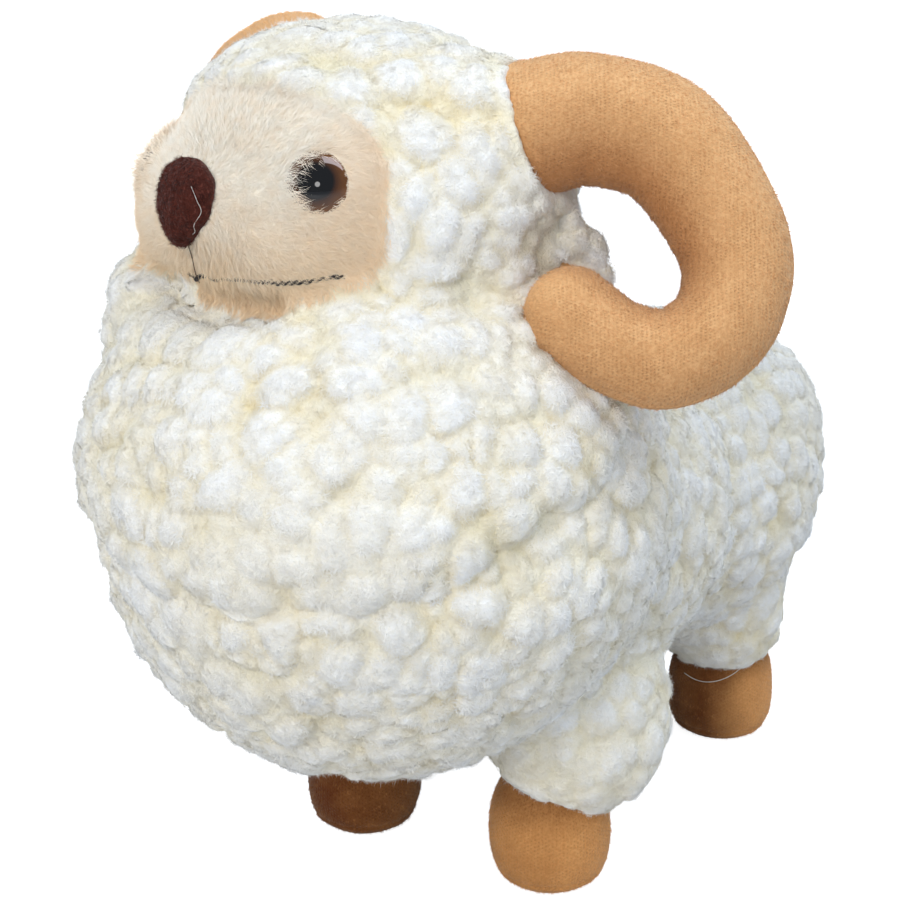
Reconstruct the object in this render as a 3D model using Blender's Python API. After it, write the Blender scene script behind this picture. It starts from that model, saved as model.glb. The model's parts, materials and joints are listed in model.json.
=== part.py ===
"""A stuffed toy ram in curly fleece, standing on four short velour feet.

It faces -Y with its left side at +X. Its head is turned a little to its own right. Each sewn or
moulded piece is one closed solid, out to the tips of its pile, and each keeps a thin gap to the next.
"""
import math

import bmesh
import bpy
import numpy as np
from mathutils import Matrix, Vector, noise

MM = 0.001
GAP = 0.3 * MM

# Driving dimensions, in metres.
FOOT_SPREAD = 28.4 * MM             # each foot's distance from the middle line
FOOT_REACH = 51.7 * MM              # each foot's distance ahead of or behind the middle of the stance
FOOT_RADIUS = 15.2 * MM
FOOT_HEIGHT = 34.0 * MM
FOOT_SIDES = 12
SOLE_RADIUS = 10.5 * MM
EYE_DIAMETER = 13.6 * MM
EYE_DEPTH = 8.0 * MM
EYE_OUT = {1: 26.8 * MM, -1: 32.6 * MM}      # the right eye sits further round its fuller cheek
EYE_UP = 8.6 * MM
# How far the middle of an eye lies below the tips of the pile.
EYE_SUNK = {1: 2.0 * MM, -1: 3.0 * MM}
NOSE_WIDTH = 18.5 * MM
NOSE_HEIGHT = 19.0 * MM
NOSE_THICKNESS = 8.0 * MM
NOSE_OUT = -1.2 * MM
NOSE_UP = 2.4 * MM
NOSE_PROUD = 0.6 * MM               # how far the middle of the nose stands above the tips of the pile
NOSE_POINT = 0.55                   # how far its lower half narrows
DOME_CUTS = 3
THREAD_RADIUS = 0.6 * MM
THREAD_SIDES = 6
MOUTH_PLACE = Vector((0.0, -46.0, -15.4)) * MM
MOUTH_SLOPE = math.radians(11.0)    # the mouth rises from the front of the face to its corners
MOUTH_REACH = 28.0 * MM
MOUTH_STEPS = 14
# The opening in the fleece that the short pile of the face fills, seen from the front.
WINDOW_HALF_WIDTH = 36.0 * MM
WINDOW_HALF_HEIGHT = 26.0 * MM
WINDOW_RAISED = 2.0 * MM
WINDOW_BACK = -8.0 * MM             # how far behind the middle of the skull it starts
WINDOW_DEPTH = 90.0 * MM
WINDOW_CORNER = 0.8                 # 1 for an oval, less for squarer corners
WINDOW_SIDES = 32
HORN_ROOT_RADIUS = 14.6 * MM
HORN_TIP_RADIUS = 9.9 * MM
HORN_SIDES = 14
HORN_RINGS = 16                     # rings along a whole horn
# Each horn's root. The right horn stands a little higher, and its plane is swung forward.
HORN_ROOT = {1: Vector((35.5, 12.0, 15.6)) * MM, -1: Vector((-39.5, 12.0, 19.4)) * MM}
HORN_SWEEP = {1: math.radians(50.3), -1: math.radians(12.0)}
HORN_LEAN = math.radians(23.0)      # how far the foot of a horn stands out from the ruff
EAR_ROOT = Vector((37.0, 17.5, -3.0)) * MM
EAR_LEAN = math.radians(-12.0)
EAR_BACK = math.radians(8.0)
EAR_TURN = math.radians(22.0)
EAR_SIZE = (19.0 * MM, 30.0 * MM, 7.0 * MM)      # width, length and thickness
EAR_SUNK = 6.0 * MM
LINING_SIZE = (13.0 * MM, 16.0 * MM, 1.6 * MM)
LINING_AHEAD = -2.9 * MM
LINING_DROP = 5.5 * MM
HEAD_CENTRE = Vector((-4.0, -80.0, 175.0)) * MM
HEAD_TURN = math.radians(-18.0)
NECK_PLACE = Vector((0.0, -150.0, 98.0)) * MM
NECK_SLOPE = math.radians(23.0)     # the neck seam rises from the breast to the back of the head
BLEND = 3.5 * MM                    # how softly one swelling runs into the next
CURL_LUMP = 1.1 * MM                # how far the curls of the fleece stand above its hollows
CURL_PITCH = 15.0 * MM
TRUNK_CUTS = 11
HEAD_CUTS = 13
FACE_CUTS = 7
LIMB_CUTS = 4

HEAD_FRAME = Matrix.Translation(HEAD_CENTRE) @ Matrix.Rotation(HEAD_TURN, 4, "Z")

# Stuffed shapes, each a cluster of round swellings: name -> (centre, radii) in millimetres.
TRUNK = {
    "chest": ((0, -82, 108), (67, 68, 60)),
    "breast": ((-4, -80, 87), (56.5, 58, 48.5)),
    "barrel": ((0, -25, 88), (57, 63, 51)),
    "shoulders": ((0, -42, 112), (47, 43, 33)),
    "rump": ((0, 42, 77), (56, 58, 47)),
    "croup_left": ((18, 48, 101.5), (33, 42, 24)),
    "croup_right": ((-18, 48, 101.5), (33, 42, 24)),
}
# The head's pieces are in the head's own frame, whose origin is the middle of the skull.
HEAD = {
    "skull": ((0, 2, 0), (45, 43, 37)),
    "crown": ((-5, -7, 17), (38, 31, 20)),
    "collar_left": ((32, 9, 13), (15.5, 16, 19)),
    "collar_right": ((-32, 9, 13), (15.5, 16, 19)),
    "nape": ((0, 14, -24), (39, 33, 31)),
    "ruff": ((0, -12, -45), (54, 46, 27)),
    "bib": ((0, -36, -57), (46, 32, 29)),
    "jowl_left": ((27, -24, -34), (20, 22, 18)),
    "jowl_right": ((-28.5, -27.5, -28), (21, 23, 20)),
}
FACE = {
    "muzzle_left": ((14, -27, -6), (15.5, 20, 18.5)),
    "muzzle_right": ((-21, -27, -6), (22, 20.5, 20)),
    "snout": ((0, -29, -3), (16, 18, 20)),
    "brow": ((0, -13, 12), (36.5, 27, 22)),
    "brow_right": ((-13, -19, 9), (18, 18, 17)),
    "cheeks": ((0, -10, -1), (39, 26, 22)),
}
CHIN = {
    "lip": ((0, -20, -16), (33, 24, 12)),
}
FRONT_LEG = {
    "sleeve": ((4, 8, 45), (22, 25, 26)),
    "cuff": ((3, 4, 34), (20.5, 21, 12)),
}
HIND_LEG = {
    "sleeve": ((0, -5, 50), (19.5, 19, 28)),
    "cuff": ((0, -1, 33), (17, 17, 12)),
}
TAIL = {
    "dock": ((0, 90, 104), (11, 13, 11)),
    "tuft": ((0, 98, 93), (12, 10, 15)),
}

# The horn's middle line in its own plane, outward and upward from its root, in millimetres.
HORN_LINE = ((-20.0, -5.0), (-8.0, -2.0), (3.0, 1.0), (15.0, 2.8), (30.0, -2.0), (39.8, -13.5),
             (45.5, -27.5), (42.5, -40.5), (32.0, -48.0), (20.2, -45.6), (10.8, -39.0))
HORN_CUTS = (0.0, 0.40, 0.72, 1.0)

FLEECE = ((0.90, 0.87, 0.79), 0.95)
PILE = ((0.86, 0.72, 0.53), 0.95)
VELOUR = ((0.62, 0.36, 0.15), 0.90)
FELT = ((0.10, 0.025, 0.02), 0.95)
THREAD = ((0.015, 0.014, 0.015), 0.80)
AMBER = ((0.12, 0.045, 0.015), 0.08)


def clear_scene():
    for obj in list(bpy.data.objects):
        bpy.data.objects.remove(obj, do_unlink=True)


def new_collection(name):
    collection = bpy.data.collections.new(name)
    bpy.context.scene.collection.children.link(collection)
    return collection


def finish(name, mesh, finish_values=None):
    """Make an object of a mesh: a part with its own material, or a cutter where it has none."""
    obj = bpy.data.objects.new(name, mesh)
    if finish_values is None:
        cutters.objects.link(obj)
        obj.hide_render = True
        obj.display_type = "WIRE"
        return obj
    ram.objects.link(obj)
    colour, roughness = finish_values
    material = bpy.data.materials.new(name)
    material.use_nodes = True
    shader = material.node_tree.nodes["Principled BSDF"]
    shader.inputs["Base Color"].default_value = (*colour, 1.0)
    shader.inputs["Roughness"].default_value = roughness
    shader.inputs["Metallic"].default_value = 0.0
    mesh.materials.append(material)
    mesh.shade_smooth()
    return obj


def cut(obj, *others, keep="DIFFERENCE"):
    """Take the cutters' space out of a part, or keep only what lies in it."""
    for cutter in others:
        modifier = obj.modifiers.new("cut_" + cutter.name, "BOOLEAN")
        modifier.operation = keep
        modifier.solver = "EXACT"
        modifier.object = cutter


def swelling_depth(points, swellings, frame=Matrix()):
    """Distance of each point to the skin round a cluster of swellings, below zero inside it."""
    return -BLEND * np.log(swelling_weight(points, swellings, frame))


def swelling_weight(points, swellings, frame):
    back = np.array(frame.inverted())
    local = points @ back[:3, :3].T + back[:3, 3]
    total = np.zeros(len(points))
    for centre, radii in swellings.values():
        offset = local - np.array(centre) * MM
        radii = np.array(radii) * MM
        scaled = np.linalg.norm(offset / radii, axis=1)
        slope = np.linalg.norm(offset / radii**2, axis=1) + 1e-9
        distance = scaled * (scaled - 1.0) / slope
        total += np.exp(-np.clip(distance, -0.08, 0.5) / BLEND)
    return total


def skin_reach(directions, middle, clusters, grow):
    """How far the skin of all the clusters together lies from the middle, along each direction."""
    def inside(reach):
        points = middle + directions * reach[:, None]
        total = sum(swelling_weight(points, swellings, frame) for swellings, frame in clusters)
        return -BLEND * np.log(total) < grow

    reach = np.full(len(directions), 0.004)
    step = 0.002
    for _ in range(90):
        reach = np.where(inside(reach + step), reach + step, reach)
    for _ in range(12):
        step *= 0.5
        reach = np.where(inside(reach + step), reach + step, reach)
    return reach


def ball_cage(cuts):
    """An even ball of squares, made from a cube."""
    cage = bmesh.new()
    bmesh.ops.create_cube(cage, size=2.0)
    bmesh.ops.subdivide_edges(cage, edges=cage.edges, cuts=cuts - 1, use_grid_fill=True)
    for vert in cage.verts:
        vert.co = Vector([math.tan(value * math.pi / 4.0) for value in vert.co]).normalized()
    return cage


def stuffed(name, clusters, cuts, look=None, middle=None, grow=0.0, lump=0.0):
    """A stuffed shape: the skin round clusters of swellings, seen from a middle within them."""
    cage = ball_cage(cuts)
    if middle is None:
        swellings, frame = clusters[0]
        centre = np.mean([centre for centre, _ in swellings.values()], axis=0)
        middle = frame @ (Vector(centre) * MM)
    directions = np.array([vert.co[:] for vert in cage.verts])
    reach = skin_reach(directions, np.array(middle), clusters, grow)
    for vert, direction, far in zip(cage.verts, directions, reach):
        place = middle + Vector(direction) * far
        vert.co = place + Vector(direction) * noise.noise(place / CURL_PITCH) * lump
    bmesh.ops.triangulate(cage, faces=cage.faces)
    mesh = bpy.data.meshes.new(name)
    cage.to_mesh(mesh)
    cage.free()
    return finish(name, mesh, look)


def window(name, grow):
    """A block with the oval outline of the face's opening, from inside the head out past the nose."""
    cage = bmesh.new()
    bmesh.ops.create_cone(cage, cap_ends=True, segments=WINDOW_SIDES, radius1=1.0, radius2=1.0, depth=1.0)
    for vert in cage.verts:
        x, y, z = vert.co
        x = math.copysign(abs(x)**WINDOW_CORNER, x)
        y = math.copysign(abs(y)**WINDOW_CORNER, y)
        away = WINDOW_BACK + grow - (z + 0.5) * WINDOW_DEPTH
        vert.co = HEAD_FRAME @ Vector((x * (WINDOW_HALF_WIDTH + grow), away,
                                       y * (WINDOW_HALF_HEIGHT + grow) + WINDOW_RAISED))
    mesh = bpy.data.meshes.new(name)
    cage.to_mesh(mesh)
    cage.free()
    return finish(name, mesh)


def slab(name, low, high, tilt, place, base=Matrix()):
    """A big block that cuts along its lower or upper side, turned about X at a place."""
    cage = bmesh.new()
    bmesh.ops.create_cube(cage, size=1.0)
    frame = base @ Matrix.Translation(place) @ Matrix.Rotation(tilt, 4, "X")
    for vert in cage.verts:
        x, y, z = vert.co
        vert.co = frame @ Vector((x * 0.6, y * 0.6, low if z < 0 else high))
    mesh = bpy.data.meshes.new(name)
    cage.to_mesh(mesh)
    cage.free()
    return finish(name, mesh)


def mirrored(swellings, side):
    return {name: ((side * centre[0], centre[1], centre[2]), radii)
            for name, (centre, radii) in swellings.items()}


def moved(swellings, offset):
    return {name: (tuple(np.add(centre, offset)), radii) for name, (centre, radii) in swellings.items()}


def smooth_line(points, share):
    """The point and direction at a share of the way along a smooth curve through the points."""
    stretch = share * (len(points) - 1)
    first = min(int(stretch), len(points) - 2)
    part = stretch - first
    before = points[max(first - 1, 0)]
    start = points[first]
    end = points[first + 1]
    after = points[min(first + 2, len(points) - 1)]
    leave = (end - before) * (0.5 if first > 0 else 1.0)
    arrive = (after - start) * (0.5 if first + 2 < len(points) else 1.0)
    cube = part**3
    square = part**2
    place = (start * (2 * cube - 3 * square + 1) + leave * (cube - 2 * square + part)
             + end * (3 * square - 2 * cube) + arrive * (cube - square))
    heading = (start * (6 * square - 6 * part) + leave * (3 * square - 4 * part + 1)
               + end * (6 * part - 6 * square) + arrive * (3 * square - 2 * part))
    return place, heading.normalized()


def skin_rings(name, rings, look):
    """A closed skin over a row of rings, which may shrink to a single point at either end."""
    mesh_maker = bmesh.new()
    rows = [[mesh_maker.verts.new(point) for point in ring] for ring in rings]
    for row, following in zip(rows, rows[1:]):
        count = max(len(row), len(following))
        for index in range(count):
            corners = [row[index % len(row)], row[(index + 1) % len(row)],
                       following[(index + 1) % len(following)], following[index % len(following)]]
            mesh_maker.faces.new(list(dict.fromkeys(corners)))
    for row in (rows[0], rows[-1]):
        if len(row) > 1:
            mesh_maker.faces.new(row)
    bmesh.ops.recalc_face_normals(mesh_maker, faces=mesh_maker.faces)
    bmesh.ops.triangulate(mesh_maker, faces=mesh_maker.faces)
    mesh = bpy.data.meshes.new(name)
    mesh_maker.to_mesh(mesh)
    mesh_maker.free()
    return finish(name, mesh, look)


def horn_ring(line, across, share, radius, ahead=0.0):
    place, heading = smooth_line(line, share)
    other = heading.cross(across).normalized()
    middle = place + heading * ahead
    ring = []
    for side in range(HORN_SIDES):
        angle = math.tau * side / HORN_SIDES
        ring.append(middle + (across * math.cos(angle) + other * math.sin(angle)) * radius)
    return ring


def horn_lengths(side):
    """A horn is one stuffed tube that curls down and forward again, made in a few lengths."""
    word = "left" if side > 0 else "right"
    outward = Vector((side * math.cos(HORN_SWEEP[side]), math.sin(HORN_SWEEP[side]), 0.0))
    ahead_of_it = Vector((side * math.sin(HORN_SWEEP[side]), -math.cos(HORN_SWEEP[side]), 0.0))
    upward = Vector((0, 0, math.cos(HORN_LEAN))) - ahead_of_it * math.sin(HORN_LEAN)
    across = HEAD_FRAME.to_3x3() @ outward.cross(upward).normalized()
    line = [HEAD_FRAME @ (HORN_ROOT[side] + (outward * u + upward * v) * MM) for u, v in HORN_LINE]
    names = ("root", "bend", "tip")
    pieces = []
    for name, start, end in zip(names, HORN_CUTS, HORN_CUTS[1:]):
        steps = max(3, round((end - start) * HORN_RINGS))
        rings = []
        for step in range(steps + 1):
            share = start + (end - start) * step / steps
            ease = min(1.0, max(0.0, (share - 0.1) / 0.85))
            slimming = ease * ease * (3.0 - 2.0 * ease)
            radius = HORN_ROOT_RADIUS + (HORN_TIP_RADIUS - HORN_ROOT_RADIUS) * slimming
            ahead = 0.0
            if step == 0 and start > 0:
                ahead = GAP / 2
            if step == steps and end < 1:
                ahead = -GAP / 2
            rings.append(horn_ring(line, across, share, radius, ahead))
        if end == 1.0:
            for turn in (0.3, 0.6, 0.85):
                angle = turn * math.pi / 2
                rings.append(horn_ring(line, across, 1.0, HORN_TIP_RADIUS * math.cos(angle),
                                       HORN_TIP_RADIUS * math.sin(angle)))
            place, heading = smooth_line(line, 1.0)
            rings.append([place + heading * HORN_TIP_RADIUS])
        pieces.append(skin_rings(f"horn_{word}_{name}", rings, VELOUR))
    return pieces


def foot(name, place, grow=0.0, look=None):
    """A round stuffed foot that stands on a small flat sole."""
    radius = FOOT_RADIUS + grow
    rise = FOOT_HEIGHT * 0.42
    rings = [[place + Vector((0, 0, -grow))]] if grow else []
    widths = [(SOLE_RADIUS + grow, 0.0), (0.90 * radius, 3.2 * MM), (0.985 * radius, 8.0 * MM)]
    for turn in (0.0, 0.22, 0.44, 0.66, 0.84):
        angle = turn * math.pi / 2
        top = FOOT_HEIGHT - rise + grow
        widths.append((radius * math.cos(angle), rise + top * math.sin(angle)))
    for width, height in widths:
        rings.append([place + Vector((width * math.cos(math.tau * side / FOOT_SIDES),
                                      width * math.sin(math.tau * side / FOOT_SIDES), height))
                      for side in range(FOOT_SIDES)])
    rings.append([place + Vector((0, 0, FOOT_HEIGHT + grow))])
    return skin_rings(name, rings, look)


def face_depth(x, z):
    """The face's own surface, in the head's frame, at a place across and up from its middle."""
    near = -70.0 * MM
    far = -5.0 * MM
    for _ in range(24):
        middle = (near + far) / 2
        if swelling_depth(np.array([[x, middle, z]]), FACE)[0] < 0:
            far = middle
        else:
            near = middle
    return far


def face_normal(x, z):
    step = 0.5 * MM
    across = Vector((2 * step, face_depth(x + step, z) - face_depth(x - step, z), 0))
    upward = Vector((0, face_depth(x, z + step) - face_depth(x, z - step), 2 * step))
    return across.cross(upward).normalized()


def aimed(place, normal):
    """A frame at a place on the head, whose own -Y looks out along the normal."""
    turn = normal.to_track_quat("-Y", "Z").to_matrix().to_4x4()
    return HEAD_FRAME @ Matrix.Translation(place) @ turn


def mouth_line():
    """Points along the mouth, where its slope meets the face."""
    points = []
    for step in range(MOUTH_STEPS + 1):
        x = MOUTH_REACH * (2.0 * step / MOUTH_STEPS - 1.0)
        z = MOUTH_PLACE.z
        for _ in range(4):
            y = face_depth(x, z)
            z = MOUTH_PLACE.z + (y - MOUTH_PLACE.y) * math.tan(MOUTH_SLOPE)
        points.append(Vector((x, y, z)))
    return points


def thread(name, points, radius, look=None):
    """A round thread laid along the points, which are in the head's frame."""
    rings = []
    for step, point in enumerate(points):
        heading = points[min(step + 1, len(points) - 1)] - points[max(step - 1, 0)]
        side = heading.cross(Vector((0, 0, 1))).normalized()
        above = side.cross(heading).normalized()
        rings.append([HEAD_FRAME @ (point + (side * math.cos(turn * math.tau / THREAD_SIDES)
                                             + above * math.sin(turn * math.tau / THREAD_SIDES)) * radius)
                      for turn in range(THREAD_SIDES)])
    return skin_rings(name, rings, look)


def dome(name, frame, width, height, thickness, point=0.0, look=None, grow=0.0):
    """A pad that bulges out along -Y. Its lower half narrows to a point where point is above zero."""
    cage = ball_cage(DOME_CUTS)
    for vert in cage.verts:
        x, y, z = vert.co
        narrow = 1.0 - point * max(0.0, -z)**1.5
        flat = Vector((x * (width / 2 + grow) * narrow, y * (thickness / 2 + grow),
                       z * (height / 2 + grow)))
        vert.co = frame @ flat
    bmesh.ops.triangulate(cage, faces=cage.faces)
    mesh = bpy.data.meshes.new(name)
    cage.to_mesh(mesh)
    cage.free()
    return finish(name, mesh, look)


def ear_pad(name, side, size, shift, drop, look=None, grow=0.0):
    """A leaf-shaped ear that hangs from the side of the head, below and behind the horn."""
    hang = Matrix.Rotation(side * EAR_LEAN, 4, "Y") @ Matrix.Rotation(EAR_BACK, 4, "X")
    turn = Matrix.Rotation(side * EAR_TURN, 4, "Z")
    place = Matrix.Translation(Vector((side * EAR_ROOT.x, EAR_ROOT.y, EAR_ROOT.z)))
    frame = HEAD_FRAME @ place @ turn @ hang
    width, length, thickness = size
    cage = ball_cage(LIMB_CUTS)
    for vert in cage.verts:
        x, y, z = vert.co
        narrow = 1.0 - 0.32 * z
        cup = 0.20 * x * x * width
        vert.co = frame @ Vector((x * (width / 2 + grow) * narrow, y * (thickness / 2 + grow) + shift + cup,
                                  z * (length / 2 + grow) - length / 2 - drop))
    bmesh.ops.triangulate(cage, faces=cage.faces)
    mesh = bpy.data.meshes.new(name)
    cage.to_mesh(mesh)
    cage.free()
    return finish(name, mesh, look)


clear_scene()
ram = new_collection("toy_ram")
cutters = new_collection("cutters")


def stand_on_origin():
    """Put the middle of the toy's own box over the origin, with its soles at height nought."""
    bpy.context.view_layer.update()
    graph = bpy.context.evaluated_depsgraph_get()
    low = Vector((1e9, 1e9, 1e9))
    high = -low
    for obj in ram.objects:
        mesh = obj.evaluated_get(graph).to_mesh()
        for vert in mesh.vertices:
            low = Vector(map(min, low, vert.co))
            high = Vector(map(max, high, vert.co))
    shift = Vector((-(low.x + high.x) / 2, -(low.y + high.y) / 2, -low.z))
    for obj in list(ram.objects) + list(cutters.objects):
        obj.location = shift


def main():
    trunk_middle = Vector((0, -30, 92)) * MM
    trunk_shape = [(TRUNK, Matrix())]
    trunk = stuffed("trunk", trunk_shape, TRUNK_CUTS, FLEECE, trunk_middle, lump=CURL_LUMP)
    trunk_space = stuffed("trunk_space", trunk_shape, TRUNK_CUTS, None, trunk_middle, GAP, CURL_LUMP)
    over_neck = slab("over_neck", -GAP / 2, 0.3, NECK_SLOPE, NECK_PLACE)
    under_neck = slab("under_neck", -0.3, GAP / 2, NECK_SLOPE, NECK_PLACE)
    cut(trunk, over_neck)

    head_middle = HEAD_FRAME @ (Vector((0, -6, -30)) * MM)
    head_shape = [(HEAD, HEAD_FRAME), (TRUNK, Matrix())]
    head = stuffed("head", head_shape, HEAD_CUTS, FLEECE, head_middle, lump=CURL_LUMP)
    head_space = stuffed("head_space", head_shape, HEAD_CUTS, None, head_middle, GAP, CURL_LUMP)
    face = stuffed("face", [(FACE, HEAD_FRAME)], FACE_CUTS, PILE)
    chin = stuffed("chin", [(CHIN, HEAD_FRAME)], LIMB_CUTS, PILE)
    over_mouth = slab("over_mouth", -GAP / 2, 0.06, MOUTH_SLOPE, MOUTH_PLACE, HEAD_FRAME)
    under_mouth = slab("under_mouth", -0.06, GAP / 2, MOUTH_SLOPE, MOUTH_PLACE, HEAD_FRAME)
    cut(head, under_neck, window("head_window", GAP))
    face_window = window("face_window", 0.0)
    cut(face, face_window, keep="INTERSECT")
    cut(chin, face_window, keep="INTERSECT")
    cut(face, under_mouth)
    cut(chin, over_mouth)
    smile = mouth_line()
    thread("mouth_thread", smile, THREAD_RADIUS, THREAD)
    thread_space = thread("thread_space", smile, THREAD_RADIUS + GAP)
    cut(face, thread_space)
    cut(chin, thread_space)

    nose_place = Vector((NOSE_OUT, face_depth(NOSE_OUT, NOSE_UP) - NOSE_PROUD, NOSE_UP))
    nose_frame = aimed(nose_place, face_normal(NOSE_OUT, NOSE_UP))
    dome("nose", nose_frame, NOSE_WIDTH, NOSE_HEIGHT, NOSE_THICKNESS, NOSE_POINT, FELT)
    nose_space = dome("nose_space", nose_frame, NOSE_WIDTH, NOSE_HEIGHT, NOSE_THICKNESS, NOSE_POINT,
                      grow=GAP)
    cut(face, nose_space)
    for side, word in ((1, "left"), (-1, "right")):
        out = side * EYE_OUT[side]
        place = Vector((out, face_depth(out, EYE_UP), EYE_UP))
        normal = face_normal(out, EYE_UP)
        frame = aimed(place - normal * EYE_SUNK[side], normal)
        dome("eye_" + word, frame, EYE_DIAMETER, EYE_DIAMETER, EYE_DEPTH, look=AMBER)
        eye_space = dome("eye_space_" + word, frame, EYE_DIAMETER, EYE_DIAMETER, EYE_DEPTH, grow=GAP)
        cut(face, eye_space)
        cut(head, eye_space)

        pieces = horn_lengths(side)
        for piece in pieces:
            cut(piece, head_space)
        ear = ear_pad("ear_" + word, side, EAR_SIZE, 0.0, -EAR_SUNK, FLEECE)
        lining = ear_pad("ear_lining_" + word, side, LINING_SIZE, LINING_AHEAD, LINING_DROP, VELOUR)
        lining_space = ear_pad("ear_lining_space_" + word, side, LINING_SIZE, LINING_AHEAD, LINING_DROP,
                               grow=GAP)
        cut(ear, head_space, lining_space)
        cut(lining, head_space)

        for end, shape, depth in (("front", FRONT_LEG, -1), ("hind", HIND_LEG, 1)):
            place = Vector((side * FOOT_SPREAD, depth * FOOT_REACH, 0))
            foot(f"foot_{end}_{word}", place, 0.0, VELOUR)
            foot_space = foot(f"foot_space_{end}_{word}", place, GAP)
            swellings = moved(mirrored(shape, side), (place / MM)[:])
            leg = stuffed(f"leg_{end}_{word}", [(swellings, Matrix())], LIMB_CUTS, FLEECE,
                          lump=CURL_LUMP * 0.6)
            cut(leg, trunk_space, foot_space)

    tail = stuffed("tail", [(TAIL, Matrix())], LIMB_CUTS, FLEECE, lump=CURL_LUMP)
    cut(tail, trunk_space)
    stand_on_origin()


main()
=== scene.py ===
"""A stuffed toy ram in curly fleece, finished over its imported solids."""
import json
import math

import bmesh
import bpy
import numpy as np
from mathutils import Matrix, Vector, noise
from mathutils.bvhtree import BVHTree

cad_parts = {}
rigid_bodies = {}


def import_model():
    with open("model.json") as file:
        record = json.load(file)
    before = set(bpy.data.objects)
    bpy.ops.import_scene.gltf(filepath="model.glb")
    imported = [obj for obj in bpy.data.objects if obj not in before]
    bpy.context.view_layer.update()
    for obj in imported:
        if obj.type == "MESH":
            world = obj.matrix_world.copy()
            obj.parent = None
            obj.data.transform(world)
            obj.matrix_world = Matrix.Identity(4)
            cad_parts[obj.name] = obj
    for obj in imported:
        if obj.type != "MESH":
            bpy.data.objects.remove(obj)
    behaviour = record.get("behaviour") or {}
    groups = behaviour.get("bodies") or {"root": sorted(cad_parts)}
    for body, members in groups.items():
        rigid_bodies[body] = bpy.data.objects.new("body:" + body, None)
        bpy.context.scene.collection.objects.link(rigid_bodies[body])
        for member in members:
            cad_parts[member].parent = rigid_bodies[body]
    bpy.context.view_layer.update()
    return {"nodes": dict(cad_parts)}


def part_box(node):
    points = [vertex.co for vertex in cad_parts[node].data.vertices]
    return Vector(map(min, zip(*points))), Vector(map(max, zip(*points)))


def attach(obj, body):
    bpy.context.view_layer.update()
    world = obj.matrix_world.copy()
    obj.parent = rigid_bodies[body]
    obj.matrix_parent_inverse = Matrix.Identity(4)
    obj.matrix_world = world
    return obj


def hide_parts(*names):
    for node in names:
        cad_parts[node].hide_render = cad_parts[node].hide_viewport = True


bl_info = {
    "name": "Plush ram",
    "version": (1, 0, 0),
    "blender": (4, 5, 0),
    "location": "3D View > Sidebar > Plush ram",
    "description": "Makes the coat, horns, feet, face and stage of a stuffed toy ram",
    "category": "Add Mesh",
}

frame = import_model()

MM = 0.001
GAP = 0.3 * MM
LOCKS = 12                             # slightly different shapes of each kind of tuft
LUMP_SEED = 7                          # for how the lumps of the fleece wander
PATCH = 0.003                          # a tuft's own patch on the map of the skin
SIDES = {"left": 1, "right": -1}
FEET = ("foot_front_left", "foot_front_right", "foot_hind_left", "foot_hind_right")
LEGS = ("leg_front_left", "leg_front_right", "leg_hind_left", "leg_hind_right")
FLESH = ("trunk", "head", "face", "chin", "tail") + LEGS
# The skin runs on inside these, so that no hollow is left round them.
SUNK = ("horn_left_root", "horn_right_root", "eye_left", "eye_right", "nose", "mouth_thread") + FEET
TOO_MANY = 200000                      # triangles of one piece of coat

HEAD_CENTRE = Vector((-4.0, -80.0, 175.0)) * MM
HEAD_TURN = math.radians(-18.0)
FOOT_RADIUS = 15.2 * MM
FOOT_HEIGHT = 34.0 * MM
EYE_DIAMETER = 13.6 * MM
EYE_DEPTH = 8.0 * MM
EYE_RIM = 1.2 * MM                     # the skin runs this far in under an eye's edge
FOOT_RIM = 3.0 * MM
BACK_HEIGHTS = (96.0 * MM, 122.0 * MM)
BACK_DEPTH = 3.0 * MM                  # the coat is this much deeper along the back
HORN_ROOT_RADIUS = 14.6 * MM
HORN_TIP_RADIUS = 9.9 * MM
HORN_ROOT = {1: Vector((35.5, 12.0, 15.6)) * MM, -1: Vector((-39.5, 12.0, 19.4)) * MM}
HORN_SWEEP = {1: math.radians(50.3), -1: math.radians(12.0)}
HORN_LEAN = math.radians(23.0)
# The horn's middle line in its own plane, outward and upward from its root, in millimetres.
HORN_LINE = ((-20.0, -5.0), (-8.0, -2.0), (3.0, 1.0), (15.0, 2.8), (30.0, -2.0), (39.8, -13.5),
             (45.5, -27.5), (42.5, -40.5), (32.0, -48.0), (20.2, -45.6), (10.8, -39.0))
HORN_BASE = (0.105, 0.19)              # shares of the line where a horn comes out of the fleece
HORN_BASE_STEPS = 9                    # of 40 steps along the line, those that fleece may climb

# Heights and widths of the face in the head's own frame, in millimetres.
BEARD_TOP = -15.5                      # under this, fleece shows beside the chin
BEARD_SIDES = (-10.0, 24.0)
CHIN_FOOT = -20.5                      # under this, all is fleece
FACE_FRONT = -25.0
NOSE_HALVES = (7.3, 7.5)               # half the width and half the height of the nose
CROWN_HEIGHTS = (14.0, 34.0)           # the lumps get lower over these
BEIGE_HEIGHTS = (-16.0 * MM, 8.0 * MM)      # the face turns from cream to beige over these
CHIN_HEIGHTS = (-21.0 * MM, -14.0 * MM)
CORNER_WIDTHS = (22.0 * MM, 36.0 * MM)      # and to tan over these
MOUTH_SPAN = (-11.0, 29.5)
MOUTH_LIFTS = ((-8.0, -3.0, 1.2), (0.0, 14.0, 1.7), (18.0, 29.0, -0.8))  # from, to and by how much
MOUTH_SHOWN = ((-6.0, 2.4, 1.0), (2.0, 1.3, 0.4), (23.5, 4.5, 0.5))     # place, spread and share
PHILTRUM = (-0.8, -5.8, -15.5)         # across at its top and its foot, and the height of its foot
STRAND_ON_NOSE = ((5.6, 4.4), (7.0, 1.6), (7.2, -0.6), (5.6, -3.2), (4.2, -4.9), (4.4, -5.6))
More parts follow.
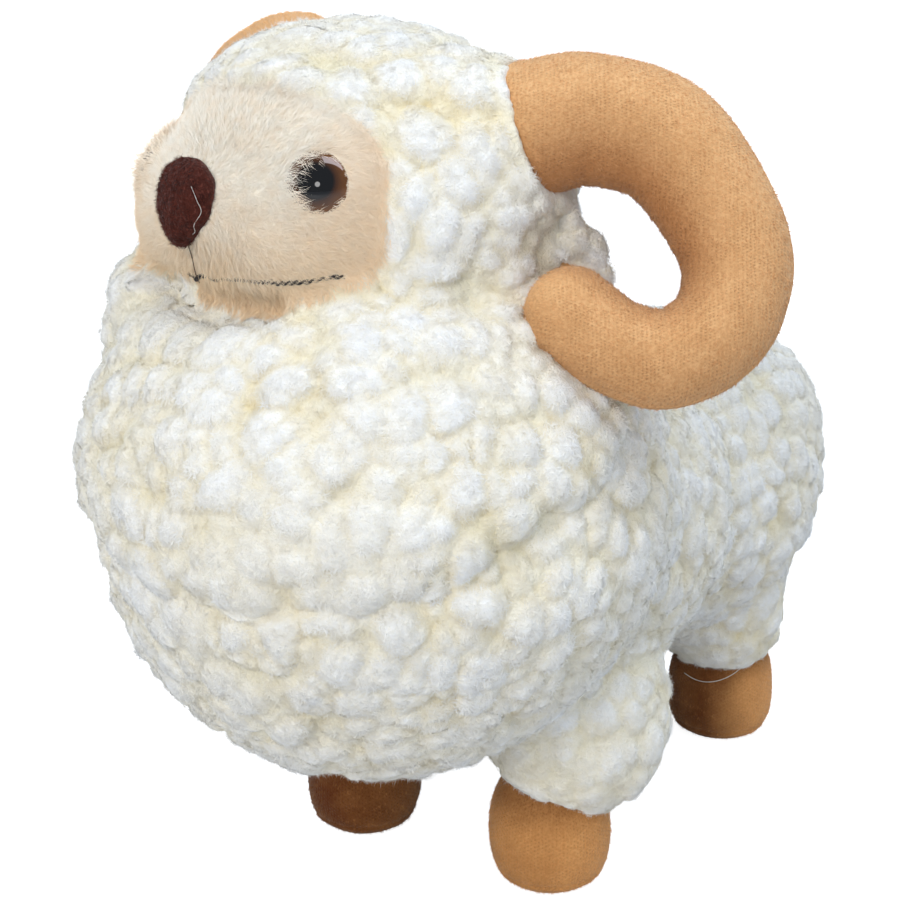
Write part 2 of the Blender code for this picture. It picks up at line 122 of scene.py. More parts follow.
# Each strand on a foot: its first angle and height, and its last ones, in degrees and millimetres.
STRANDS_ON_FEET = {
    "foot_hind_left": ((-112.0, 20.5, -42.0, 24.0),),
    "foot_front_right": ((-82.0, 26.5, -62.0, 27.5), (-76.0, 28.0, -58.0, 25.8),
                         (-92.0, 27.0, -80.0, 28.2)),
}
# Painted light on the velour of each foot: how light it is on the left and on the right, as the camera
# sees it.
FOOT_PAINTED_LIGHT = {"foot_front_left": (0.80, 1.0), "foot_front_right": (0.05, 0.22),
               "foot_hind_left": (0.12, 1.0), "foot_hind_right": (0.35, 0.7)}
# The light and the dark shade of each thread.
HORN_SEWING = ((0.55, 0.30, 0.13), (0.22, 0.09, 0.03))
SEAM_YARN = ((0.20, 0.12, 0.07), (0.06, 0.035, 0.02))
LOOSE_FIBRE = ((0.92, 0.90, 0.86), (0.80, 0.76, 0.70))

CAMERA_RIGHT = (0.8453, 0.5343, 0.0)
CAMERA_AHEAD = (-0.5113, 0.8089, -0.2904)
UPRIGHT = Vector((0.0, 0.0, 1.0))
OVERHEAD_RUN = Vector((0.578, 0.927, -0.469))
# Each lamp: its name, place from the stance, size, share of the key's power, colour and long side.
LAMPS = (
    ("key", (0.22, -1.1, 0.65), (0.6, 0.6), 1.0, (1.0, 0.96, 0.90), UPRIGHT),
    ("spark", (0.49, -1.16, 0.47), (0.22, 0.22), 0.14, (1.0, 0.99, 0.97), UPRIGHT),
    ("fill", (-0.5, -0.85, 0.9), (0.6, 0.6), 0.12, (1.0, 0.985, 0.96), UPRIGHT),
    ("top", (0.49, 0.12, 1.15), (0.26, 1.1), 1.15, (0.82, 0.89, 1.0), OVERHEAD_RUN),
    ("window", (0.50, 0.13, 1.17), (0.55, 1.1), 2.2, (0.95, 0.92, 1.0), OVERHEAD_RUN),
)
MIRRORED_LAMPS = ("spark", "window")   # only these show in the eyes


def middle_of(name):
    """The middle of one solid's box."""
    low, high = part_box(name)
    return (low + high) / 2


def stance_middle():
    """The place on the floor between the four feet."""
    middle = Vector((0.0, 0.0, 0.0))
    for name in FEET:
        middle += middle_of(name) / 4
    middle.z = 0.0
    return middle


STANCE = stance_middle()
HEAD = Matrix.Translation(STANCE + HEAD_CENTRE) @ Matrix.Rotation(HEAD_TURN, 4, "Z")


# ---------------------------------------------------------------- mesh helpers

def show(name, mesh):
    obj = bpy.data.objects.new(name, mesh)
    mesh.name = name
    bpy.context.scene.collection.objects.link(obj)
    return obj


def places(mesh):
    flat = np.empty(len(mesh.vertices) * 3, np.float32)
    mesh.vertices.foreach_get("co", flat)
    return flat.reshape(-1, 3).astype(float)


def put_places(mesh, points):
    mesh.vertices.foreach_set("co", np.asarray(points, np.float32).ravel())
    mesh.update()


def outward(mesh):
    flat = np.empty(len(mesh.vertices) * 3, np.float32)
    mesh.vertex_normals.foreach_get("vector", flat)
    return flat.reshape(-1, 3).astype(float)


def edge_ends(mesh):
    flat = np.empty(len(mesh.edges) * 2, np.int32)
    mesh.edges.foreach_get("vertices", flat)
    return flat.reshape(-1, 2)


def write(mesh, **facts):
    """Each vertex keeps these numbers or directions under their names."""
    for name, values in facts.items():
        values = np.asarray(values, np.float32)
        kind, part = ("FLOAT", "value") if values.ndim == 1 else ("FLOAT_VECTOR", "vector")
        fact = mesh.attributes.get(name) or mesh.attributes.new(name, kind, "POINT")
        fact.data.foreach_set(part, values.ravel())


def field(mesh, name):
    """The number that each vertex keeps under that name."""
    values = np.empty(len(mesh.vertices), np.float32)
    mesh.attributes[name].data.foreach_get("value", values)
    return values.astype(float)


def unit(vectors):
    return vectors / np.maximum(np.linalg.norm(vectors, axis=1, keepdims=True), 1e-9)


def settle(values, ends, times, share=0.5):
    """Each vertex's value moves towards the average of its neighbours'."""
    values = np.array(values, float)
    column = values.reshape(len(values), -1)
    count = np.maximum(np.bincount(ends.ravel(), minlength=len(values)), 1)[:, None]
    for _ in range(times):
        total = np.zeros_like(column)
        np.add.at(total, ends[:, 0], column[ends[:, 1]])
        np.add.at(total, ends[:, 1], column[ends[:, 0]])
        column = column + (total / count - column) * share
    return column.reshape(values.shape)


def smoothstep(low, high, values):
    share = np.clip((values - low) / (high - low), 0.0, 1.0)
    return share * share * (3.0 - 2.0 * share)


def ripple(points, pitch, seed):
    """A smooth random swelling, from -1 to 1, at each point."""
    shift = Vector((seed * 7.3, seed * 3.1, seed * 5.7))
    return np.array([noise.noise(Vector(point) / pitch + shift) for point in points])


def lump_height(points, pitch, seed):
    """How far the fleece swells at each point, from 0 in a hollow to 1 on top of a round lump."""
    noise.seed_set(LUMP_SEED)
    shift = Vector((seed * 3.7, seed * 1.9, seed * 5.3))
    made = []
    for point in points:
        spot = Vector(point) / pitch + shift
        spot += noise.noise_vector(spot * 0.8) * 0.25
        near, following = noise.voronoi(spot)[0][:2]
        edge = min(1.0, (following - near) / 0.5)
        ball = max(0.0, 1.0 - (near / 0.85) ** 2)
        made.append(0.5 * math.sqrt(1.0 - (1.0 - edge) ** 2) + 0.5 * math.sqrt(ball))
    return np.array(made)


def in_head(points):
    """Points in the head's own frame, in millimetres."""
    back = np.array(HEAD.inverted())
    return (points @ back[:3, :3].T + back[:3, 3]) / MM


def head_place(point):
    """One point in the head's own frame, in millimetres."""
    return in_head(np.array([point]))[0]


def merged_copy(names, grow):
    """One bmesh of copies of these solids, each grown by a little."""
    maker = bmesh.new()
    for name in names:
        maker.from_mesh(frame["nodes"][name].data)
    bmesh.ops.remove_doubles(maker, verts=maker.verts, dist=1e-6)
    maker.normal_update()
    for vert, normal in [(vert, vert.normal.copy()) for vert in maker.verts]:
        vert.co += normal * grow
    mesh = bpy.data.meshes.new("copy")
    maker.to_mesh(mesh)
    maker.free()
    return mesh


def bake_modifiers(obj):
    """The mesh that obj's modifiers make takes their place."""
    graph = bpy.context.evaluated_depsgraph_get()
    mesh = bpy.data.meshes.new_from_object(obj.evaluated_get(graph), preserve_all_data_layers=True,
                                           depsgraph=graph)
    old = obj.data
    obj.modifiers.clear()
    obj.data = mesh
    bpy.data.meshes.remove(old)
    mesh.name = obj.name
    return obj


def even_skin(name, nodes, grow, grain):
    """An even grid of faces over copies of these solids."""
    obj = show(name, merged_copy(nodes, grow))
    remesh = obj.modifiers.new("Even grid", "REMESH")
    remesh.mode = "VOXEL"
    remesh.voxel_size = grain
    return bake_modifiers(obj)


def even_piece(name, node, grow, grain, times=3):
    """An even, rounded skin over a copy of one solid."""
    obj = even_skin(name, [node], grow, grain)
    put_places(obj.data, settle(places(obj.data), edge_ends(obj.data), times))
    return obj


def subdivide(obj, levels=1):
    finer = obj.modifiers.new("Finer", "SUBSURF")
    finer.levels = levels
    finer.render_levels = levels
    return bake_modifiers(obj)


def map_skin(obj):
    """An unwrap of the skin's own shape."""
    for other in bpy.context.view_layer.objects:
        other.select_set(False)
    obj.select_set(True)
    bpy.context.view_layer.objects.active = obj
    obj.data.uv_layers.new(name="OFBake")
    bpy.ops.object.mode_set(mode="EDIT")
    bpy.ops.mesh.select_all(action="SELECT")
    bpy.ops.uv.smart_project(angle_limit=math.radians(66), island_margin=0.004)
    bpy.ops.object.mode_set(mode="OBJECT")


def puff(obj, most, frames=20):
    """Air pressure fills the cloth of a stuffed piece, and no point moves further than most."""
    rest = places(obj.data)
    cloth = obj.modifiers.new("Stuffing", "CLOTH")
    cloth.settings.use_pressure = True
    cloth.settings.uniform_pressure_force = 4.0
    cloth.settings.effector_weights.gravity = 0.0
    cloth.settings.quality = 4
    cloth.point_cache.frame_start = 1
    cloth.point_cache.frame_end = frames
    scene = bpy.context.scene
    for step in range(1, frames + 1):
        scene.frame_set(step)
    bake_modifiers(obj)
    scene.frame_set(1)
    moved = places(obj.data) - rest
    reach = np.linalg.norm(moved, axis=1, keepdims=True)
    moved = moved * np.minimum(1.0, most / np.maximum(reach, 1e-9))
    put_places(obj.data, rest + settle(moved, edge_ends(obj.data), 2))


def smooth_faces(mesh):
    mesh.polygons.foreach_set("use_smooth", [True] * len(mesh.polygons))
    mesh.update()


def dress(obj, material, nodes=()):
    """The finish and the body of a finished piece, and the solids that it hides."""
    if material is not None:
        obj.data.materials.clear()
        obj.data.materials.append(material)
    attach(obj, "root")
    if nodes:
        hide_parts(*nodes)
    return obj


def tree_of(mesh):
    return BVHTree.FromPolygons([vert.co for vert in mesh.vertices],
                                [tuple(face.vertices) for face in mesh.polygons])


def shaded(colour, factor, more=0.0):
    """A colour made lighter or darker."""
    return tuple(min(1.0, value * factor + more) for value in colour)


# ---------------------------------------------------------------- node helpers

def socket(sockets, name):
    """The shown socket of that name."""
    return next(item for item in sockets if item.name == name and item.enabled)


def feed(tree, value, target):
    """The socket takes another socket's result or a plain value."""
    if isinstance(value, bpy.types.NodeSocket):
        tree.links.new(value, target)
    else:
        target.default_value = value


def add(tree, kind, values=None, **settings):
    made = tree.nodes.new(kind)
    for name, value in settings.items():
        setattr(made, name, value)
    for name, value in (values or {}).items():
        feed(tree, value, socket(made.inputs, name))
    return made


def out(made, name=0):
    return made.outputs[name] if isinstance(name, int) else socket(made.outputs, name)


def sums(tree, operation, *terms, kind="ShaderNodeMath"):
    """The result of one piece of arithmetic."""
    made = add(tree, kind, operation=operation)
    for index, term in enumerate(terms):
        feed(tree, term, made.inputs[index])
    return made.outputs[0]


def vector_sums(tree, operation, *terms):
    return sums(tree, operation, *terms, kind="ShaderNodeVectorMath")


def blended(tree, share, first, second, kind="MIX"):
    """Two colours mixed by a share."""
    made = add(tree, "ShaderNodeMix", data_type="RGBA", blend_type=kind)
    feed(tree, share, made.inputs[0])
    for index, value in ((6, first), (7, second)):
        linked = isinstance(value, bpy.types.NodeSocket)
        feed(tree, value if linked else (*value[:3], 1.0), made.inputs[index])
    return made.outputs[2]


def between(tree, value, low, high, to_low=0.0, to_high=1.0):
    made = add(tree, "ShaderNodeMapRange", {"Value": value, "From Min": low, "From Max": high,
                                            "To Min": to_low, "To Max": to_high})
    made.clamp = True
    return made.outputs[0]


def own_places(tree):
    return out(add(tree, "ShaderNodeTexCoord"), "Object")


def attribute(tree, name, output="Fac"):
    return out(add(tree, "ShaderNodeAttribute", attribute_name=name), output)


def cloudy(tree, vector, scale, detail=2.0):
    return out(add(tree, "ShaderNodeTexNoise", {"Vector": vector, "Scale": scale, "Detail": detail}),
               "Fac")


def new_material(name, **constants):
    """A material whose shader takes these plain values on its own sockets."""
    material = bpy.data.materials.new(name)
    material.use_nodes = True
    shader = material.node_tree.nodes["Principled BSDF"]
    for key, value in constants.items():
        target = shader.inputs[key.replace("_", " ")]
        coloured = isinstance(value, tuple) and len(target.default_value) == 4
        target.default_value = (*value, 1.0) if coloured else value
    return material, material.node_tree, shader


def bumped(tree, shader, height, distance, strength=1.0):
    made = add(tree, "ShaderNodeBump", {"Height": height, "Distance": distance, "Strength": strength})
    tree.links.new(made.outputs[0], shader.inputs["Normal"])


def group_named(name, outputs, inputs=(), kind="ShaderNodeTree"):
    """A new group with these sockets, its input node and its output node."""
    group = bpy.data.node_groups.new(name, kind)
    for label, sort, *default in inputs:
        made = group.interface.new_socket(label, in_out="INPUT", socket_type=f"NodeSocket{sort}")
        if default:
            made.default_value = default[0]
    for label, sort in outputs:
        group.interface.new_socket(label, in_out="OUTPUT", socket_type=f"NodeSocket{sort}")
    return group, add(group, "NodeGroupInput"), add(group, "NodeGroupOutput")


def use_group(tree, group, values=None):
    made = tree.nodes.new("ShaderNodeGroup")
    made.node_tree = group
    for name, value in (values or {}).items():
        feed(tree, value, made.inputs[name])
    return made


# ---------------------------------------------------------------- shared effects

def knit_group():
    """Columns of small sunk stitches, as on the back of a napped knit. Takes places in millimetres."""
    if "knit_stitches" in bpy.data.node_groups:
        return bpy.data.node_groups["knit_stitches"]
    group, given, made = group_named(
        "knit_stitches", (("Dots", "Float"), ("Height", "Float")),
        (("Place", "Vector", (0.0, 0.0, 0.0)), ("Column", "Float", 1.1), ("Stitch", "Float", 0.9)))
    place = out(given, "Place")
    wander = add(group, "ShaderNodeTexNoise", {"Vector": place, "Scale": 0.35, "Detail": 1.0})
    moved = add(group, "ShaderNodeMix", data_type="VECTOR")
    shifted = vector_sums(group, "ADD", place, out(wander, "Color"))
    for index, value in ((0, 0.8), (4, place), (5, shifted)):
        feed(group, value, moved.inputs[index])
    parts = add(group, "ShaderNodeSeparateXYZ", {"Vector": moved.outputs[1]})
    columns = sums(group, "DIVIDE", parts.outputs[0], out(given, "Column"))
    stagger = sums(group, "MULTIPLY", sums(group, "FLOOR", columns), 0.5)
    rows = sums(group, "ADD", sums(group, "DIVIDE", parts.outputs[1], out(given, "Stitch")), stagger)
    offsets = [sums(group, "ABSOLUTE", sums(group, "SUBTRACT", sums(group, "FRACT", cells), 0.5))
               for cells in (columns, rows)]
    away = sums(group, "SQRT", sums(group, "ADD", sums(group, "POWER", offsets[0], 2.0),
                                    sums(group, "POWER", offsets[1], 2.0)))
    dots = between(group, away, 0.06, 0.32, 1.0, 0.0)
    patchy = between(group, cloudy(group, place, 0.22), 0.34, 0.62, 0.25, 1.0)
    dots = sums(group, "MULTIPLY", dots, patchy)
    group.links.new(dots, made.inputs["Dots"])
    group.links.new(sums(group, "SUBTRACT", 1.0, dots), made.inputs["Height"])
    return group


def face_group(coat):
    """The colours of the face: cream above and round the nose, beige below and towards the fleece."""
    if "face_markings" in bpy.data.node_groups:
        return bpy.data.node_groups["face_markings"]
    group, _, made = group_named("face_markings", (("Color", "Color"),))
    moved = vector_sums(group, "SUBTRACT", own_places(group), STANCE + HEAD_CENTRE)
    spun = add(group, "ShaderNodeVectorRotate", {"Vector": moved, "Angle": -HEAD_TURN},
               rotation_type="Z_AXIS")
    parts = add(group, "ShaderNodeSeparateXYZ", {"Vector": out(spun)})
    uneven = sums(group, "MULTIPLY", sums(group, "SUBTRACT", cloudy(group, out(spun), 90.0), 0.5),
                  14.0 * MM)
    height = sums(group, "ADD", parts.outputs[2], uneven)
    low = between(group, height, *BEIGE_HEIGHTS, 1.0, 0.0)
    chin = between(group, height, *CHIN_HEIGHTS, 1.0, 0.0)
    away = sums(group, "ADD", sums(group, "ABSOLUTE", parts.outputs[0]), uneven)
    corner = between(group, away, *CORNER_WIDTHS)
    shade = blended(group, low, coat.cream, coat.beige)
    shade = blended(group, sums(group, "MULTIPLY", corner, 0.75), shade, coat.tan)
    shade = blended(group, sums(group, "MULTIPLY", chin, 0.7), shade, coat.tan)
    group.links.new(shade, made.inputs["Color"])
    return group


def fleece_group(coat):
    """The colours of the fleece: white on the lumps with a painted highlight on their tops, and painted
    shade in straw and olive in the hollows.
    """
    if "fleece_markings" in bpy.data.node_groups:
        return bpy.data.node_groups["fleece_markings"]
    group, _, made = group_named("fleece_markings", (("Color", "Color"),))
    where = own_places(group)
    warm = between(group, cloudy(group, where, 55.0), 0.36, 0.64)
    # Painted shade in the hollows, in two colours mixed at random.
    hollow = blended(group, warm, coat.hollow_shade, coat.cool_hollow_shade)
    loft = attribute(group, "loft")
    shade = blended(group, between(group, loft, 0.36, 0.88), hollow, coat.fleece)
    # Painted highlight on the tops of the lumps.
    shade = blended(group, between(group, loft, 0.72, 0.98), shade, coat.fleece_tip)
    straw = between(group, cloudy(group, where, 28.0), 0.45, 0.68, 0.0, 0.5)
    shade = blended(group, straw, shade, coat.fleece)
    group.links.new(shade, made.inputs["Color"])
    return group


def fleece_material(coat):
    if "fleece_wool" in bpy.data.materials:
        return bpy.data.materials["fleece_wool"]
    material, tree, shader = new_material("fleece_wool", Roughness=0.95, Specular_IOR_Level=0.05)
    shade = out(use_group(tree, fleece_group(coat)), "Color")
    # Painted highlight towards the fibre tips.
    shade = blended(tree, between(tree, attribute(tree, "tip"), 0.0, 1.0, 0.0, 0.2), shade,
                    coat.fleece_tip)
    shade = blended(tree, between(tree, attribute(tree, "tone"), 0.0, 1.0, 0.0, 0.06), shade,
                    coat.hollow_shade)
    tree.links.new(shade, shader.inputs["Base Color"])
    return material


def skin_material(coat):
    """The backing cloth, in the coat's colours, with the fleece's painted shade in the hollows and painted
    highlight on the lump tops.
    """
    if "backing_cloth" in bpy.data.materials:
        return bpy.data.materials["backing_cloth"]
    material, tree, shader = new_material("backing_cloth", Roughness=0.95, Specular_IOR_Level=0.05)
    where = own_places(tree)
    face = out(use_group(tree, face_group(coat)), "Color")
    wool = out(use_group(tree, fleece_group(coat)), "Color")
    shade = blended(tree, between(tree, attribute(tree, "face_share"), 0.35, 0.65), wool, face)
    shade = blended(tree, between(tree, cloudy(tree, where, 900.0), 0.35, 0.65, 0.0, 0.2), shade,
                    coat.hollow_shade)
    tree.links.new(shade, shader.inputs["Base Color"])
    bumped(tree, shader, cloudy(tree, where, 1500.0, 3.0), 0.5 * MM)
    return material


def pile_material(coat):
    if "short_pile" in bpy.data.materials:
        return bpy.data.materials["short_pile"]
    material, tree, shader = new_material("short_pile", Roughness=0.95, Specular_IOR_Level=0.08)
    face = out(use_group(tree, face_group(coat)), "Color")
    # Painted shade: the pile is a little darker towards its roots.
    dark = blended(tree, 1.0, face, (0.95, 0.92, 0.87), "MULTIPLY")
    shade = blended(tree, between(tree, attribute(tree, "tip"), 0.0, 0.7), dark, face)
    shade = blended(tree, between(tree, attribute(tree, "tone"), 0.0, 1.0, 0.0, 0.22), shade, coat.fleece)
    shade = blended(tree, between(tree, cloudy(tree, own_places(tree), 420.0), 0.4, 0.7, 0.0, 0.22),
                    shade, coat.tan)
    tree.links.new(shade, shader.inputs["Base Color"])
    return material


def velour_material(name, trim, light, dark, column=0.85, stitch=0.7):
    if name in bpy.data.materials:
        return bpy.data.materials[name]
    material, tree, shader = new_material(
        name, Roughness=0.85, Sheen_Weight=0.25, Sheen_Roughness=0.45,
        Sheen_Tint=(1.0, 0.86, 0.66), Specular_IOR_Level=0.15)
    where = own_places(tree)
    knit = use_group(tree, knit_group(), {"Place": attribute(tree, "knit", "Vector"),
                                          "Column": column, "Stitch": stitch})
    # The shade fact mixes dark into light: painted light and shade on the horns and feet, a random tone on
    # the ear linings.
    shade = blended(tree, attribute(tree, "shade"), dark, light)
    brushed = between(tree, cloudy(tree, where, 140.0, 3.0), 0.35, 0.65)
    shade = blended(tree, sums(tree, "MULTIPLY", brushed, 0.30), shade,
                    blended(tree, 1.0, shade, (0.72, 0.62, 0.5), "MULTIPLY"))
    shade = blended(tree, between(tree, cloudy(tree, where, 1300.0, 3.0), 0.36, 0.62, 0.0, 0.45), shade,
                    blended(tree, 1.0, shade, (0.70, 0.60, 0.50), "MULTIPLY"))
    shade = blended(tree, sums(tree, "MULTIPLY", out(knit, "Dots"), trim.stitch_depth), shade,
                    blended(tree, 1.0, shade, (0.42, 0.32, 0.24), "MULTIPLY"))
    tree.links.new(shade, shader.inputs["Base Color"])
    height = sums(tree, "ADD", out(knit, "Height"),
                  sums(tree, "MULTIPLY", cloudy(tree, where, 2200.0, 3.0), 0.8))
    bumped(tree, shader, height, 0.16 * MM, 0.8)
    return material


def nap_material(name, light, dark):
    """The short nap that stands on a velour, in the velour's own colours."""
    if name in bpy.data.materials:
        return bpy.data.materials[name]
    material, tree, shader = new_material(name, Roughness=0.95, Specular_IOR_Level=0.05)
    # The shade fact mixes dark into light: painted light and shade on the horns and feet, a random tone
    # elsewhere.
    shade = blended(tree, attribute(tree, "shade"), dark, light)
    shade = blended(tree, between(tree, attribute(tree, "tone"), 0.55, 1.0, 0.0, 0.35), shade,
                    shaded(light, 1.12, 0.02))
    tree.links.new(shade, shader.inputs["Base Color"])
    return material


def thread_material(name, light, dark, scale=2500.0):
    if name in bpy.data.materials:
        return bpy.data.materials[name]
    material, tree, shader = new_material(name, Roughness=0.75, Sheen_Weight=0.15,
                                          Specular_IOR_Level=0.25)
    fibres = cloudy(tree, own_places(tree), scale, 3.0)
    tree.links.new(blended(tree, between(tree, fibres, 0.35, 0.65), dark, light),
                   shader.inputs["Base Color"])
    bumped(tree, shader, fibres, 0.1 * MM)
    return material


def felt_material(trim):
    if "nose_felt" in bpy.data.materials:
        return bpy.data.materials["nose_felt"]
    material, tree, shader = new_material("nose_felt", Roughness=0.92, Sheen_Weight=0.1,
                                          Sheen_Roughness=0.5, Sheen_Tint=(1.0, 0.8, 0.75),
                                          Specular_IOR_Level=0.15)
    where = own_places(tree)
    matted = cloudy(tree, where, 420.0, 4.0)
    shade = blended(tree, between(tree, matted, 0.34, 0.66), shaded(trim.felt, 0.45), trim.felt)
    shade = blended(tree, between(tree, cloudy(tree, where, 1400.0, 3.0), 0.52, 0.72, 0.0, 0.7), shade,
                    shaded(trim.felt, 2.2, 0.01))
    tree.links.new(shade, shader.inputs["Base Color"])
    bumped(tree, shader, cloudy(tree, where, 1500.0, 4.0), 0.4 * MM)
    return material


def eye_material(trim):
    """Clear brown plastic over a black pupil."""
    if "domed_eye" in bpy.data.materials:
        return bpy.data.materials["domed_eye"]
    material, tree, shader = new_material("domed_eye", Roughness=0.3, Coat_Weight=1.0,
                                          Coat_IOR=1.6, Coat_Roughness=0.03, Specular_IOR_Level=0.0)
    disc = attribute(tree, "disc")
    streaks = cloudy(tree, own_places(tree), 700.0, 2.0)
    ring = blended(tree, between(tree, disc, 0.60, 0.90), trim.amber_dark, trim.amber)
    ring = blended(tree, between(tree, streaks, 0.3, 0.7, 0.0, 0.35), ring, trim.amber_dark)
    shade = blended(tree, between(tree, disc, 0.50, 0.60), (0.004, 0.0035, 0.004), ring)
    shade = blended(tree, between(tree, disc, 0.95, 1.0), shade, trim.amber_dark)
    tree.links.new(shade, shader.inputs["Base Color"])
    return material


# ---------------------------------------------------------------- tufts

def root_spot(chance, spread):
    """A random place in a small round, and how far out it is."""
    turn = chance.uniform(0.0, math.tau)
    away = spread * math.sqrt(chance.uniform(0.0, 1.0))
    return math.cos(turn) * away, math.sin(turn) * away, away


def blade(maker, tip, ends):
    """A flat fibre of one triangle, whose last end is its tip."""
    verts = [maker.verts.new(end * MM) for end in ends]
    maker.faces.new(verts)
    for vert, value in zip(verts, (0.0, 0.0, 1.0)):
        vert[tip] = value


def strip(maker, tip, path, width, rise):
    """A flat fibre along three places, wide at its root and pointed at its tip."""
    heading = path[1] - path[0]
    across = heading.cross(Vector(rise)).normalized() * width / 2
    rows = [(path[0] - across, path[0] + across), (path[1] - across * 0.8, path[1] + across * 0.8)]
    verts = [maker.verts.new(point) for row in rows for point in row]
    end = maker.verts.new(path[2])
    maker.faces.new((verts[0], verts[1], verts[3], verts[2]))
    maker.faces.new((verts[2], verts[3], end))
    for vert, value in zip((*verts, end), (0.0, 0.0, 0.6, 0.6, 1.0)):
        vert[tip] = value


def tuft_mesh(name, build):
    """One repeated shape, whose vertices know how near the tip they are and their own place."""
    maker = bmesh.new()
    tip = maker.verts.layers.float.new("tip")
    own = maker.verts.layers.float_vector.new("own")
    build(maker, tip)
    reach = max(max(abs(vert.co.x), abs(vert.co.y)) for vert in maker.verts)
    for vert in maker.verts:
        vert[own] = Vector((vert.co.x / reach / 2 + 0.5, vert.co.y / reach / 2 + 0.5, 0.0))
    mesh = bpy.data.meshes.new(name)
    maker.to_mesh(mesh)
    maker.free()
    smooth_faces(mesh)
    return mesh


def wool_build(chance, count=60):
    """A small flat lock of fine crimped fibres that lies on the fleece and overlaps the next."""
    def build(maker, tip):
        for index in range(count):
            x, y, away = root_spot(chance, 1.8)
            root = Vector((x, y, chance.uniform(-0.05, 0.15) - away * away / 12.0))
            flat = Vector((0.35, 0.0, 0.0)) + Vector((chance.uniform(-1, 1), chance.uniform(-1, 1), 0.0))
            standing = index % 6 == 0
            lift = chance.uniform(0.5, 1.2) if standing else chance.uniform(0.0, 0.2)
            way = (flat.normalized() + Vector((0.0, 0.0, lift))).normalized()
            across = way.cross(Vector((chance.uniform(-0.12, 0.12), chance.uniform(-0.12, 0.12), 1.0)))
            across = across.normalized() * (0.04 if standing else chance.uniform(0.05, 0.085))
            blade(maker, tip, (root - across, root + across, root + way * chance.uniform(1.0, 1.9)))
    return build


def pile_build(chance, count, length, lean, width, spread):
    """A pinch of short pile that leans over one way."""
    def build(maker, tip):
        for _ in range(count):
            root = Vector((*root_spot(chance, spread)[:2], -0.15))
            reach = length * chance.uniform(0.7, 1.15)
            side = chance.uniform(-0.35, 0.35)
            up = math.sin(lean) * chance.uniform(0.75, 1.3)
            first_way = Vector((math.cos(lean), side, up * 1.4)).normalized()
            second_way = Vector((math.cos(lean), side * 1.8, up * 0.35)).normalized()
            path = [root * MM, (root + first_way * reach * 0.5) * MM,
                    (root + first_way * reach * 0.5 + second_way * reach * 0.5) * MM]
            strip(maker, tip, path, width * chance.uniform(0.8, 1.2) * MM,
                  (0.0, chance.uniform(-0.6, 0.6), 1.0))
    return build


def nap_build(chance, count, length, lean, width, spread):
    """A pinch of very short nap."""
    def build(maker, tip):
        for _ in range(count):
            root = Vector((*root_spot(chance, spread)[:2], -0.1))
            way = Vector((math.cos(lean), chance.uniform(-0.5, 0.5),
                          math.sin(lean) * chance.uniform(0.7, 1.4)))
            across = way.cross(Vector((0.0, chance.uniform(-0.8, 0.8), 1.0))).normalized() * width / 2
            end = root + way.normalized() * length * chance.uniform(0.7, 1.2)
            blade(maker, tip, (root - across, root + across, end))
    return build


def tuft_kinds(name, count, make):
    """A collection of slightly different shapes to repeat."""
    kinds = bpy.data.collections.new(name)
    for index in range(count):
        kinds.objects.link(bpy.data.objects.new(f"{name}_{index:02d}",
                                               tuft_mesh(f"{name}_{index:02d}", make(index))))
    return kinds


def clear_kinds(kinds):
    for obj in list(kinds.objects):
        mesh = obj.data
        bpy.data.objects.remove(obj)
        bpy.data.meshes.remove(mesh)
    bpy.data.collections.remove(kinds)


